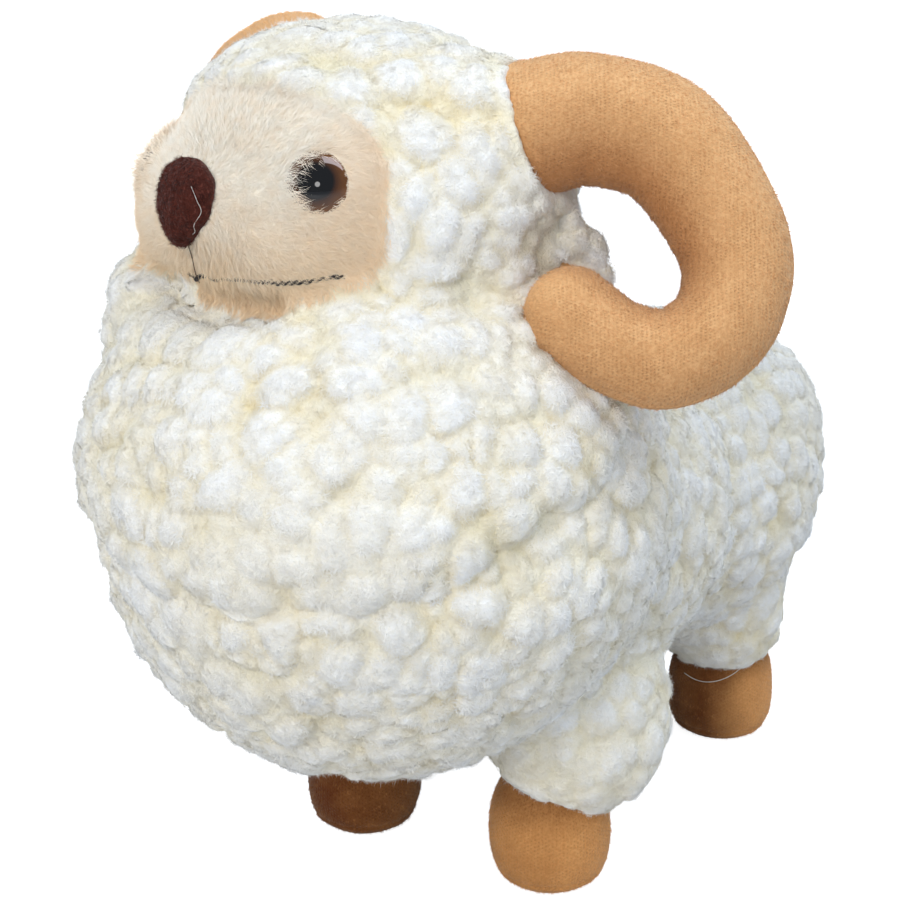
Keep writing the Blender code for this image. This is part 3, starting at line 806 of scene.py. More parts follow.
def coat_tree():
    """Geometry nodes that stand tufts on a skin, leaning the way the coat lies."""
    if "tufted_coat" in bpy.data.node_groups:
        return bpy.data.node_groups["tufted_coat"]
    tree, given, made = group_named(
        "tufted_coat", (("Coat", "Geometry"),),
        (("Skin", "Geometry"), ("Spacing", "Float", 0.004), ("Crowding", "Float", 100000.0),
         ("Share", "String", "share"), ("Tufts", "Collection"), ("Size", "Float", 1.0),
         ("Spread", "Float", 0.15), ("Turn", "Float", 0.5), ("Tilt", "Float", 0.2),
         ("Patch", "Float", PATCH), ("Seed", "Int", 1), ("Finish", "Material")), "GeometryNodeTree")

    def chance(kind, seed, low, high):
        own_seed = sums(tree, "ADD", out(given, "Seed"), seed)
        return out(add(tree, "FunctionNodeRandomValue", {"Seed": own_seed, "Min": low, "Max": high},
                       data_type=kind), "Value")

    def fact(name, kind="FLOAT_VECTOR"):
        return out(add(tree, "GeometryNodeInputNamedAttribute", {"Name": name}, data_type=kind),
                   "Attribute")

    def stored(geometry, name, value, kind, domain="POINT"):
        return out(add(tree, "GeometryNodeStoreNamedAttribute",
                       {"Geometry": geometry, "Name": name, "Value": value},
                       data_type=kind, domain=domain))

    spots = add(tree, "GeometryNodeDistributePointsOnFaces",
                {"Mesh": out(given, "Skin"), "Distance Min": out(given, "Spacing"),
                 "Density Max": out(given, "Crowding"),
                 "Density Factor": fact(out(given, "Share"), "FLOAT"),
                 "Seed": out(given, "Seed")}, distribute_method="POISSON")
    kept = stored(out(spots, "Points"), "root_place", fact("OFBake"), "FLOAT_VECTOR")
    toned = stored(kept, "tone", chance("FLOAT", 11, 0.0, 1.0), "FLOAT")
    bare = add(tree, "GeometryNodeRemoveAttribute", {"Geometry": toned, "Name": "OFBake"})
    upright = add(tree, "FunctionNodeAlignRotationToVector", {"Vector": out(spots, "Normal")}, axis="Z")
    laid = add(tree, "FunctionNodeAlignRotationToVector",
               {"Rotation": out(upright), "Vector": fact("lie")}, axis="X", pivot_axis="Z")
    swing = add(tree, "ShaderNodeCombineXYZ")
    for index, (label, seed) in enumerate((("Tilt", 21), ("Tilt", 22), ("Turn", 23))):
        feed(tree, sums(tree, "MULTIPLY", chance("FLOAT", seed, -1.0, 1.0), out(given, label)),
             swing.inputs[index])
    swung = add(tree, "FunctionNodeEulerToRotation", {"Euler": out(swing)})
    turned = add(tree, "FunctionNodeRotateRotation",
                 {"Rotation": out(laid), "Rotate By": out(swung)}, rotation_space="LOCAL")
    grown = sums(tree, "MULTIPLY", out(given, "Size"), fact("size", "FLOAT"))
    uneven = sums(tree, "MULTIPLY_ADD", chance("FLOAT", 31, -1.0, 1.0), out(given, "Spread"), 1.0)
    size = sums(tree, "MULTIPLY", grown, uneven)
    kinds = add(tree, "GeometryNodeCollectionInfo",
                {"Collection": out(given, "Tufts"), "Separate Children": True, "Reset Children": True})
    stood = add(tree, "GeometryNodeInstanceOnPoints",
                {"Points": out(bare), "Instance": out(kinds, "Instances"), "Pick Instance": True,
                 "Instance Index": chance("INT", 41, 0, LOCKS - 1), "Rotation": out(turned),
                 "Scale": size})
    real = add(tree, "GeometryNodeRealizeInstances", {"Geometry": out(stood)})
    small = add(tree, "ShaderNodeVectorMath", operation="SCALE")
    feed(tree, vector_sums(tree, "SUBTRACT", fact("own"), (0.5, 0.5, 0.0)), small.inputs[0])
    feed(tree, out(given, "Patch"), small.inputs["Scale"])
    spot = vector_sums(tree, "ADD", out(small), fact("root_place"))
    patched = stored(out(real), "OFBake", spot, "FLOAT2", "CORNER")
    coloured = add(tree, "GeometryNodeSetMaterial", {"Geometry": patched,
                                                     "Material": out(given, "Finish")})
    feed(tree, out(coloured), made.inputs[0])
    return tree


def grown_by(obj, tree, values):
    """The mesh that a tree of nodes makes of obj with these values takes its place."""
    modifier = obj.modifiers.new("Grown", "NODES")
    modifier.node_group = tree
    for item in tree.interface.items_tree:
        if item.in_out == "INPUT" and item.name in values:
            modifier[item.identifier] = values[item.name]
    bake_modifiers(obj)


COAT_FACTS = ("tip", "tone", "shade", "loft", "OFBake", "position")


def grow_coat(name, ground, tree, values):
    """The tufts of one piece of coat, as a plain mesh."""
    obj = show(name, ground.data.copy())
    grown_by(obj, tree, values)
    obj.data.materials.clear()
    obj.data.materials.append(values["Finish"])
    obj.data.polygons.foreach_set("material_index", [0] * len(obj.data.polygons))
    for item in list(obj.data.attributes):
        if item.name not in COAT_FACTS and not item.is_internal and not item.is_required:
            obj.data.attributes.remove(item)
    triangles = sum(len(face.vertices) - 2 for face in obj.data.polygons)
    print(f"{name}: {triangles} triangles")
    if triangles >= TOO_MANY:
        raise RuntimeError(f"{name} has {triangles} triangles, too many for one piece")
    return obj


# ---------------------------------------------------------------- shapes that follow a line

def smooth_line(points, share):
    """The point and direction at a share of the way along a smooth curve through the points."""
    stretch = share * (len(points) - 1)
    first = min(int(stretch), len(points) - 2)
    part = stretch - first
    before = points[max(first - 1, 0)]
    start = points[first]
    end = points[first + 1]
    after = points[min(first + 2, len(points) - 1)]
    leave = (end - before) * (0.5 if first > 0 else 1.0)
    arrive = (after - start) * (0.5 if first + 2 < len(points) else 1.0)
    cube = part**3
    square = part**2
    place = (start * (2 * cube - 3 * square + 1) + leave * (cube - 2 * square + part)
             + end * (3 * square - 2 * cube) + arrive * (cube - square))
    heading = (start * (6 * square - 6 * part) + leave * (3 * square - 4 * part + 1)
               + end * (6 * part - 6 * square) + arrive * (3 * square - 2 * part))
    return place, heading.normalized()


def lofted(name, rings, end=None, start=None, map_size=(1.0, 1.0)):
    """A closed skin over rings of places, with a map that runs round and along them."""
    count = len(rings[0])
    points = [point for ring in rings for point in ring]
    faces = []
    corners = []
    wide, tall = map_size
    for row in range(len(rings) - 1):
        low, high = (tall * value / len(rings) for value in (row, row + 1))
        for step in range(count):
            after = (step + 1) % count
            faces.append((row * count + step, row * count + after, (row + 1) * count + after,
                          (row + 1) * count + step))
            left, right = (wide * value / count for value in (step, step + 1))
            corners += [(left, low), (right, low), (right, high), (left, high)]
    for point, row, level in ((start, 0, 0.0), (end, len(rings) - 1, tall)):
        if point is None:
            continue
        points.append(point)
        for step in range(count):
            after = (step + 1) % count
            ends = (row * count + step, row * count + after)
            middle = wide * (step + 0.5) / count
            sides = [(wide * step / count, level * 0.995), (wide * (step + 1) / count, level * 0.995)]
            if row:
                faces.append((ends[0], ends[1], len(points) - 1))
                corners += sides + [(middle, level)]
            else:
                faces.append((ends[1], ends[0], len(points) - 1))
                corners += sides[::-1] + [(middle, level)]
    mesh = bpy.data.meshes.new(name)
    mesh.from_pydata([tuple(point) for point in points], [], faces)
    mapped = mesh.uv_layers.new(name="OFBake")
    mapped.data.foreach_set("uv", np.array(corners, np.float32).ravel())
    smooth_faces(mesh)
    maker = bmesh.new()
    maker.from_mesh(mesh)
    if maker.calc_volume(signed=True) < 0:
        bmesh.ops.reverse_faces(maker, faces=maker.faces)
        maker.to_mesh(mesh)
    maker.free()
    return show(name, mesh)


def twisted_thread(name, path, radius, plies, pitch):
    """Plies of round yarn wound about each other along a path."""
    stride = 0.28 * MM
    steps = max(12, int(sum((b - a).length for a, b in zip(path, path[1:])) / stride))
    made = []
    for ply in range(plies):
        rings = []
        for step in range(steps + 1):
            place, heading = smooth_line(path, step / steps)
            side = heading.cross(Vector((0, 0, 1))).normalized()
            above = side.cross(heading).normalized()
            turn = math.tau * (step * stride / pitch + ply / plies)
            shift = 0.55 * radius if plies > 1 else 0.0
            middle = place + (side * math.cos(turn) + above * math.sin(turn)) * shift
            thin = radius * (0.62 if plies > 1 else 1.0)
            if step in (0, steps):
                thin *= 0.5
            rings.append([middle + (side * math.cos(spoke) + above * math.sin(spoke)) * thin
                          for spoke in (math.tau * index / 6 for index in range(6))])
        made.append(lofted(f"{name}_{ply}", rings, smooth_line(path, 1.0)[0], smooth_line(path, 0.0)[0]))
    return joined(name, made)


def joined(name, objects):
    """Several meshes as one piece."""
    maker = bmesh.new()
    for obj in objects:
        maker.from_mesh(obj.data)
        bpy.data.objects.remove(obj)
    mesh = bpy.data.meshes.new(name)
    maker.to_mesh(mesh)
    maker.free()
    smooth_faces(mesh)
    return show(name, mesh)


def horn_ways(side):
    """The root of a horn and the three directions of its own plane."""
    outward_way = Vector((side * math.cos(HORN_SWEEP[side]), math.sin(HORN_SWEEP[side]), 0.0))
    ahead_of_it = Vector((side * math.sin(HORN_SWEEP[side]), -math.cos(HORN_SWEEP[side]), 0.0))
    upward = Vector((0, 0, math.cos(HORN_LEAN))) - ahead_of_it * math.sin(HORN_LEAN)
    across = outward_way.cross(upward).normalized()
    turn = HEAD.to_3x3()
    return HEAD @ HORN_ROOT[side], turn @ outward_way, turn @ upward, turn @ across


def horn_radius(share):
    ease = min(1.0, max(0.0, (share - 0.1) / 0.85))
    slimming = ease * ease * (3.0 - 2.0 * ease)
    tucked = 0.58 + 0.42 * float(smoothstep(*HORN_BASE, share))
    return (HORN_ROOT_RADIUS + (HORN_TIP_RADIUS - HORN_ROOT_RADIUS) * slimming) * tucked


def horn_path(side):
    root, outward_way, upward, _ = horn_ways(side)
    return [root + (outward_way * u + upward * v) * MM for u, v in HORN_LINE]


SEAM_TURNS = (-12.0, -8.0, -5.5, -3.6, -1.9, 0.0, 1.9, 3.6, 5.5, 8.0, 12.0)


def seam_rise(turn, trim):
    """The two turned-in lips of a seam and the groove between them."""
    lips = math.exp(-((abs(turn) - 4.0) / 2.6) ** 2)
    groove = math.exp(-(turn / 1.8) ** 2)
    return trim.seam_height * (lips - 0.8 * groove)


def horn_tube(name, side, trim):
    """One stuffed horn, seamed along its outer edge."""
    root, outward_way, upward, across = horn_ways(side)
    line = horn_path(side)
    turns = list(SEAM_TURNS) + [18.0 + 324.0 * step / 40 for step in range(41)]
    rows = 120
    rings, seam = [], []

    def ring(share, radius, ahead=0.0):
        place, heading = smooth_line(line, share)
        other = heading.cross(across).normalized()
        middle = place + heading * ahead
        made = []
        for turn in turns:
            angle = math.radians(turn - 90.0)
            way = across * math.cos(angle) + other * math.sin(angle)
            spot = middle + way * radius
            lump = noise.noise(spot / (15.0 * MM) + Vector((side * 3.0, 0, 0))) * 0.55 * MM
            lump += noise.noise(spot / (4.5 * MM)) * 0.16 * MM
            near = turn if turn < 180.0 else turn - 360.0
            fade = min(1.0, radius / (6.0 * MM))
            inner = max(0.0, -math.cos(math.radians(turn))) ** 3
            pucker = inner * math.sin(share * 150.0 + math.sin(share * 37.0) * 2.0) * 0.08 * MM
            pucker *= 1.0 if 0.25 < share < 0.95 else 0.0
            made.append(spot + way * (lump + pucker + seam_rise(near, trim) * fade))
            if near == 0.0:
                seam.append(spot + way * (lump - 0.3 * seam_rise(4.0, trim)))
        rings.append(made)

    for row in range(rows + 1):
        ring(row / rows, horn_radius(row / rows))
    for turn in range(1, 10):
        angle = turn / 10 * math.pi / 2
        ring(1.0, HORN_TIP_RADIUS * math.cos(angle), HORN_TIP_RADIUS * math.sin(angle))
    tip, heading = smooth_line(line, 1.0)
    start = smooth_line(line, 0.0)[0]
    obj = lofted(name, rings, tip + heading * HORN_TIP_RADIUS, start, (0.5, 1.0))
    points = places(obj.data)
    apart = points - np.array(root)
    plane = np.stack([apart @ np.array(way) for way in (outward_way, upward, across)], axis=1) / MM
    count = len(turns)
    along = np.clip(np.arange(len(points)) // count / rows, 0.0, 1.0)
    headings = np.array([smooth_line(line, float(share))[1] for share in along])
    spin = np.tile(np.cos(np.radians(turns)), len(rings))
    spin = np.concatenate([spin, [0.0, 0.0]])
    upper = plane[:, 1] - np.array([(smooth_line(line, float(share))[0] - root).dot(upward)
                                    for share in along]) / MM
    # Painted light: the velour is lighter on the top of the horn, with painted shade on the inside of the
    # curl.
    shade = 0.78 + 0.30 * smoothstep(-6.0, 11.0, upper) - 0.42 * smoothstep(0.2, 1.0, -spin)
    write(obj.data, knit=plane, shade=np.clip(shade, 0.0, 1.0), lie=headings, share=along > 0.12,
          size=np.ones(len(points)))
    return obj, seam[int(rows * 0.16):]


def stitch_tree():
    """Geometry nodes that lay short stitches along a seam."""
    if "seam_stitches" in bpy.data.node_groups:
        return bpy.data.node_groups["seam_stitches"]
    tree, given, made = group_named(
        "seam_stitches", (("Stitches", "Geometry"),),
        (("Seam", "Geometry"), ("Spacing", "Float", 0.002), ("Length", "Float", 0.001),
         ("Radius", "Float", 0.0002), ("Finish", "Material")), "GeometryNodeTree")
    curve = add(tree, "GeometryNodeMeshToCurve", {"Mesh": out(given, "Seam")})
    spots = add(tree, "GeometryNodeCurveToPoints", {"Curve": out(curve), "Length": out(given, "Spacing")},
                mode="LENGTH")
    stitch = add(tree, "GeometryNodeMeshUVSphere", {"Segments": 6, "Rings": 5, "Radius": 1.0})
    half = sums(tree, "MULTIPLY", out(given, "Length"), 0.5)
    size = add(tree, "ShaderNodeCombineXYZ", {"X": out(given, "Radius"), "Y": out(given, "Radius"),
                                              "Z": half})
    way = add(tree, "FunctionNodeAlignRotationToVector", {"Vector": out(spots, "Tangent")}, axis="Z")
    stood = add(tree, "GeometryNodeInstanceOnPoints",
                {"Points": out(spots, "Points"), "Instance": out(stitch), "Rotation": out(way),
                 "Scale": out(size)})
    real = add(tree, "GeometryNodeRealizeInstances", {"Geometry": out(stood)})
    rounded = add(tree, "GeometryNodeSetShadeSmooth", {"Geometry": out(real)})
    finished = add(tree, "GeometryNodeSetMaterial", {"Geometry": out(rounded),
                                                     "Material": out(given, "Finish")})
    feed(tree, out(finished), made.inputs[0])
    return tree


def stitch_row(name, path, spacing, long, radius, material):
    """Short stitches spaced along a seam."""
    mesh = bpy.data.meshes.new(name)
    mesh.from_pydata([tuple(point) for point in path], [(i, i + 1) for i in range(len(path) - 1)], [])
    obj = show(name, mesh)
    grown_by(obj, stitch_tree(), {"Spacing": spacing, "Length": long, "Radius": radius,
                                  "Finish": material})
    return obj


FOOT_PROFILE = ((9.6, 0.0), (10.5, 0.25), (12.3, 1.4), (13.68, 3.2), (14.97, 8.0), (15.2, 14.3),
                (14.3, 21.1), (11.7, 26.8), (7.7, 31.0), (3.8, 33.3))


def foot_place(name):
    """The middle of a foot's sole."""
    return Vector((*middle_of(name).xy, 0.0))


def foot_ball(name, middle, lit_span):
    """A round stuffed foot of napped velour on a flat sole."""
    profile = [Vector((width, 0.0, height)) * MM for width, height in FOOT_PROFILE]
    rings = []
    rows, spokes = 64, 72
    for row in range(rows + 1):
        spot, _ = smooth_line(profile, row / rows)
        made = []
        for step in range(spokes):
            angle = math.tau * step / spokes
            way = Vector((math.cos(angle), math.sin(angle), 0.0))
            lump = noise.noise(middle * 40 + way * 1.4 + Vector((0, 0, spot.z * 90))) * 0.45 * MM
            lump += noise.noise(middle * 70 + way * 5.0 + Vector((0, 0, spot.z * 300))) * 0.14 * MM
            seam = 0.35 * MM * math.exp(-((spot.z - 3.4 * MM) / (0.45 * MM)) ** 2)
            rise = 1.0 if spot.z > 0.3 * MM else 0.0
            made.append(middle + Vector((0, 0, spot.z)) + way * (spot.x + (lump - seam) * rise))
        rings.append(made)
    obj = lofted(name, rings, middle + Vector((0, 0, FOOT_HEIGHT)), middle, (1.0, 0.62))
    points = places(obj.data)
    apart = points - np.array(middle)
    angle = np.arctan2(apart[:, 1], apart[:, 0])
    knit = np.stack([angle * FOOT_RADIUS, points[:, 2], np.zeros(len(points))], axis=1) / MM
    # Painted light: the velour is lighter on the camera's right and painted shade darkens its left.
    across = apart @ np.array(CAMERA_RIGHT) / FOOT_RADIUS
    low, high = lit_span
    shade = low + (high - low) * smoothstep(-0.5, 0.6, across)
    # Painted shade near the top of the foot, under the fleece.
    shade = shade * (0.55 + 0.45 * smoothstep(26.0, 17.0, points[:, 2] / MM))
    shade = shade + 0.12 * ripple(points, 5.0 * MM, 4)
    down = np.tile(np.array((0.0, 0.0, -1.0)), (len(points), 1))
    write(obj.data, knit=knit, shade=np.clip(shade, 0.0, 1.0), lie=down,
          share=points[:, 2] > 0.8 * MM, size=np.ones(len(points)))
    return obj


# ---------------------------------------------------------------- settings

def length(name, description, default, **more):
    return bpy.props.FloatProperty(name=name, description=description, default=default, unit="LENGTH",
                                   subtype="DISTANCE", precision=4, **more)


def colour(name, description, default):
    return bpy.props.FloatVectorProperty(name=name, description=description, default=default, size=3,
                                         min=0.0, max=1.0, subtype="COLOR")


class PlushRamCoat(bpy.types.PropertyGroup):
    """Sizes and colours of the stuffed body's coat."""
    skin_grain: length("Skin grain", "Size of the even grid of the backing cloth", 2.4 * MM)
    puff: length("Puff", "How far the stuffing may push the cloth out", 2.0 * MM)
    fleece_depth: length("Fleece depth", "Depth of the fleece over the backing cloth", 5.0 * MM)
    leg_depth: length("Leg depth", "Depth of the fleece on the legs and the tail", 4.2 * MM)
    pile_depth: length("Pile depth", "Depth of the pile on the face", 2.0 * MM)
    neck_crease: length("Neck crease", "Depth of the fold between the head and the body", 2.6 * MM)
    lump_pitch: length("Lump pitch", "Distance between two lumps of the fleece", 8.4 * MM)
    lump_rise: length("Lump rise", "How far a lump stands over the hollows", 6.4 * MM)
    lump_droop: length("Lump droop", "How far the top of a lump hangs over", 1.7 * MM)
    lock_spacing: length("Lock spacing", "Least distance between two locks of wool", 2.0 * MM)
    pile_spacing: length("Pile spacing", "Least distance between two pinches of pile", 0.50 * MM)
    fleece: colour("Fleece", "Colour of the sides of a lump", (0.84, 0.80, 0.725))
    # Painted highlight: the whiter, cooler colour of the lump tops and fibre tips.
    fleece_tip: colour("Fleece tip", "Colour of the tops of the lumps", (0.86, 0.855, 0.855))
    # Painted shade: the two crevice colours darken the hollows between the lumps.
    hollow_shade: colour("Crevice", "Colour between the lumps", (0.80, 0.69, 0.44))
    cool_hollow_shade: colour("Cool crevice", "Second colour between the lumps", (0.77, 0.71, 0.54))
    cream: colour("Cream", "Upper part of the face", (1.0, 0.94, 0.84))
    beige: colour("Beige", "Lower part of the face", (0.86, 0.67, 0.45))
    tan: colour("Tan", "Corners of the face and the chin", (0.92, 0.68, 0.43))


class PlushRamTrim(bpy.types.PropertyGroup):
    """Sizes and colours of the horns, feet, ears, eyes, nose and mouth."""
    seam_height: length("Seam height", "How far the lips of a horn's seam stand out", 0.45 * MM)
    nap_spacing: length("Nap spacing", "Least distance between two pinches of nap", 0.85 * MM)
    stitch_depth: bpy.props.FloatProperty(name="Stitch depth", description="Darkness of the knit",
                                          default=0.34, min=0.0, max=1.0, subtype="FACTOR")
    # Painted light: the lit and the shaded colours of the horn velour, mixed by where the light falls.
    horn_light: colour("Horn light", "Brushed velour of the horns", (0.76, 0.445, 0.21))
    horn_dark: colour("Horn dark", "Shaded velour of the horns", (0.33, 0.10, 0.02))
    # Painted light: the lit and the shaded colours of the foot velour, mixed by where the light falls.
    foot_lit_velour: colour("Foot light", "Brushed velour of the feet", (0.68, 0.33, 0.115))
    foot_shaded_velour: colour("Foot dark", "Velour of the feet brushed the other way", (0.14, 0.037, 0.007))
    ear: colour("Ear lining", "Velour inside the ears", (0.55, 0.32, 0.15))
    felt: colour("Nose felt", "Felt of the nose", (0.072, 0.017, 0.011))
    amber: colour("Amber", "Rim of the eyes", (0.17, 0.062, 0.015))
    amber_dark: colour("Dark amber", "Ring round the pupil", (0.045, 0.016, 0.006))
    thread: colour("Mouth thread", "Thread of the mouth", (0.012, 0.010, 0.010))


class PlushRamStage(bpy.types.PropertyGroup):
    """The camera, lights and floor."""
    camera_place: bpy.props.FloatVectorProperty(
        name="Camera place", description="Camera from the middle of the stance",
        default=(0.2316, -0.4203, 0.24), size=3, unit="LENGTH", subtype="TRANSLATION")
    lens: bpy.props.FloatProperty(name="Lens", description="Focal length", default=74.0, unit="CAMERA")
    floor_size: length("Floor size", "Side of the floor", 8.0)
    sky: bpy.props.FloatProperty(name="Sky", description="Strength of the light from all round",
                                 default=0.76)
    key: bpy.props.FloatProperty(name="Key", description="Power of the key light", default=5.4,
                                 unit="POWER")


def coat_settings(context):
    return context.scene.plush_ram_coat


def trim_settings(context):
    return context.scene.plush_ram_trim


# ---------------------------------------------------------------- the skin's facts

def inside_share(points, margin, first=0):
    """1 where a point of the skin lies under a horn beyond its first steps, an eye, the nose or a foot."""
    hidden = np.zeros(len(points))
    for side in (1, -1):
        line = horn_path(side)
        for step in range(first, 41):
            place, _ = smooth_line(line, step / 40)
            away = np.linalg.norm(points - np.array(place), axis=1)
            hidden = np.maximum(hidden, (away < horn_radius(step / 40) - margin).astype(float))
    for name in ("eye_left", "eye_right"):
        away = np.linalg.norm(points - np.array(middle_of(name)), axis=1)
        hidden = np.maximum(hidden, (away < EYE_DIAMETER / 2 - EYE_RIM).astype(float))
    local = in_head(points) - head_place(middle_of("nose"))
    inside = (local[:, 0] / NOSE_HALVES[0]) ** 2 + (local[:, 2] / NOSE_HALVES[1]) ** 2 < 1.0
    hidden = np.maximum(hidden, (inside & (in_head(points)[:, 1] < FACE_FRONT)).astype(float))
    for name in FEET:
        middle = middle_of(name)
        away = np.hypot(points[:, 0] - middle.x, points[:, 1] - middle.y)
        hidden = np.maximum(hidden, ((away < FOOT_RADIUS - FOOT_RIM)
                                     & (points[:, 2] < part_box(name)[1].z - 1.0 * MM)).astype(float))
    return hidden


def coat_lie(points, normals, face_share):
    """Which way the coat lies: down the body with swirls, and away from the nose on the face."""
    middle = np.array(STANCE + Vector((0.0, -20.0, 90.0)) * MM)
    away = unit((points - middle) * np.array((1.0, 1.0, 0.0)))
    swirl = np.stack([ripple(points, 16.0 * MM, seed) for seed in (1, 2, 3)], axis=1)
    flow = np.array((0.0, 0.0, -1.0)) + away * 0.35 + swirl * 1.5
    local = in_head(points)
    fan = unit(local - np.array((-1.0, -44.0, 1.0))) + np.array((0.0, 0.25, -0.18))
    fan = fan @ np.array(HEAD.to_3x3()).T + swirl * 0.35
    flow = flow * (1.0 - face_share[:, None]) + fan * face_share[:, None]
    return unit(flow - normals * np.sum(flow * normals, axis=1, keepdims=True))


def nearest_nodes(points):
    """The solid that each point of the skin belongs to."""
    trees = [tree_of(frame["nodes"][name].data) for name in FLESH + SUNK]
    away = np.array([[tree.find_nearest(Vector(point))[3] for tree in trees] for point in points])
    return np.array(FLESH + SUNK)[np.argmin(away, axis=1)]


def regions(points, nodes):
    """The parts of the fleece that are made as pieces of their own."""
    local = in_head(points)
    spread = points - np.array(STANCE)
    trunk = nodes == "trunk"
    legs = np.isin(nodes, LEGS + FEET)
    head = ~trunk & ~legs & (nodes != "tail")
    crown = head & (local[:, 2] > -8.0)
    left = spread[:, 0] > 0.0
    front = spread[:, 1] < -18.0 * MM
    return {
        "crown_left": crown & (local[:, 0] > 0.0),
        "crown_right": crown & (local[:, 0] <= 0.0),
        "ruff_left": head & ~crown & (local[:, 0] > 0.0),
        "ruff_right": head & ~crown & (local[:, 0] <= 0.0),
        "breast_left": trunk & front & left,
        "breast_right": trunk & front & ~left,
        "rump_left": trunk & ~front & left,
        "rump_right": trunk & ~front & ~left,
        "legs": legs | (nodes == "tail"),
    }


def face_points(points, nodes):
    """1 where the skin bears the short pile of the face."""
    on_face = np.isin(nodes, ("face", "chin", "nose", "eye_left", "eye_right",
                              "mouth_thread")).astype(float)
    local = in_head(points)
    beard = (local[:, 2] < BEARD_TOP) & ((local[:, 0] < BEARD_SIDES[0]) | (local[:, 0] > BEARD_SIDES[1]))
    on_face[beard | (local[:, 2] < CHIN_FOOT)] = 0.0
    return on_face


def coat_depths(coat, points, nodes, ends, on_face, on_limb):
    """How far the skin lies under the outside of the coat."""
    back = (nodes == "trunk") * smoothstep(*BACK_HEIGHTS, points[:, 2])
    depth = (BACK_DEPTH * back + coat.fleece_depth + (coat.pile_depth - coat.fleece_depth) * on_face
             + (coat.leg_depth - coat.fleece_depth) * on_limb)
    for name in ("eye_left", "eye_right"):
        away = np.linalg.norm(points - np.array(middle_of(name)), axis=1)
        depth = depth * (0.35 + 0.65 * smoothstep(6.0 * MM, 12.0 * MM, away))
    head = settle(np.isin(nodes, ("head", "face", "chin")).astype(float), ends, 5)
    body = settle((nodes == "trunk").astype(float), ends, 5)
    return settle(depth, ends, 4) + 4.0 * head * body * coat.neck_crease * (
        1.0 - smoothstep(0.0, 0.12, settle(on_face, ends, 8)))


def raise_lumps(coat, mesh):
    """The lumps of the fleece rise from the skin and hang a little over the hollows."""
    points = places(mesh)
    ends = edge_ends(mesh)
    share = field(mesh, "face_share")
    lie = coat_lie(points, outward(mesh), share)
    write(mesh, hidden=inside_share(points, 2.0 * MM), lie=lie)
    calm = smoothstep(0.75, 0.15, settle(share, ends, 6))
    merged = 0.62 + 0.38 * smoothstep(-0.25, 0.3, ripple(points, 16.0 * MM, 12))
    loft = 1.0 - merged * (1.0 - lump_height(points, coat.lump_pitch, 3))
    loft = 0.74 * loft + 0.26 * lump_height(points, coat.lump_pitch * 0.55, 8)
    loft = settle(loft, ends, 1, 0.4) * (0.80 + 0.20 * field(mesh, "size"))
    covered = inside_share(points, 2.0 * MM, HORN_BASE_STEPS)
    calm = calm * (1.0 - smoothstep(0.0, 0.6, settle(covered, ends, 3)))
    rise = loft * coat.lump_rise * calm * smoothstep(0.5, 1.0, field(mesh, "size"))
    rise = rise * (1.0 - 0.3 * smoothstep(*CROWN_HEIGHTS, in_head(points)[:, 2]))
    points = points + outward(mesh) * rise[:, None]
    points = points + lie * (loft ** 2 * calm * coat.lump_droop)[:, None]
    points = settle(points, ends, 2, 0.3)
    rim = smoothstep(0.0, 0.25, settle(share, ends, 14))
    even = settle(points, ends, 5, 0.5)
    put_places(mesh, points + (even - points) * rim[:, None])
    write(mesh, loft=loft * calm + (1.0 - calm) * 0.75)


# ---------------------------------------------------------------- operators

class RAM_OT_skin(bpy.types.Operator):
    """Make the stuffed backing cloth of the body, the head and the legs"""
    bl_idname = "ram.skin"
    bl_label = "Backing cloth"

    def execute(self, context):
        coat = coat_settings(context)
        obj = even_skin("skin", FLESH + SUNK, GAP, coat.skin_grain)
        mesh = obj.data
        points = places(mesh)
        ends = edge_ends(mesh)
        nodes = nearest_nodes(points)
        on_face = face_points(points, nodes)
        on_limb = np.isin(nodes, LEGS + ("tail",)).astype(float)
        depth = coat_depths(coat, points, nodes, ends, on_face, on_limb)
        for _ in range(5):
            points = settle(points - outward(mesh) * depth[:, None] / 5, ends, 1, 0.35)
            put_places(mesh, points)
        puff(obj, coat.puff)
        mesh = obj.data
        points = places(mesh)
        on_face = smoothstep(0.50, 0.92, settle(on_face, ends, 3))
        write(mesh, face_share=on_face)
        write(mesh, **{f"part_{name}": mask for name, mask in regions(points, nodes).items()})
        near_face = settle(on_face, ends, 7)
        size = 1.0 - 0.15 * on_limb - 0.30 * smoothstep(0.02, 0.45, near_face)
        write(mesh, size=settle(size, ends, 2))
        map_skin(obj)
        subdivide(obj)
        raise_lumps(coat, obj.data)
        smooth_faces(obj.data)
        dress(obj, skin_material(coat), FLESH)
        return {"FINISHED"}


class RAM_OT_fleece(bpy.types.Operator):
    """Cover the body, the head and the legs with locks of wool"""
    bl_idname = "ram.fleece"
    bl_label = "Fleece"

    def execute(self, context):
        coat = coat_settings(context)
        skin = bpy.data.objects["skin"]
        chance = np.random.default_rng(11)
        kinds = tuft_kinds("wool", LOCKS, lambda index: wool_build(chance))
        woolly = ((1.0 - smoothstep(0.35, 0.65, field(skin.data, "face_share")))
                  * (1.0 - field(skin.data, "hidden")))
        names = [item.name[5:] for item in skin.data.attributes if item.name.startswith("part_")]
        for seed, name in enumerate(names):
            write(skin.data, share=field(skin.data, f"part_{name}") * woolly)
            obj = grow_coat(f"fleece_{name}", skin, coat_tree(), {
                "Spacing": coat.lock_spacing, "Crowding": 9.0 / coat.lock_spacing**2,
                "Share": "share", "Tufts": kinds, "Size": 1.0, "Spread": 0.24, "Turn": 1.2,
                "Tilt": 0.1, "Seed": 20 + seed, "Finish": fleece_material(coat)})
            dress(obj, None)
        clear_kinds(kinds)
        return {"FINISHED"}


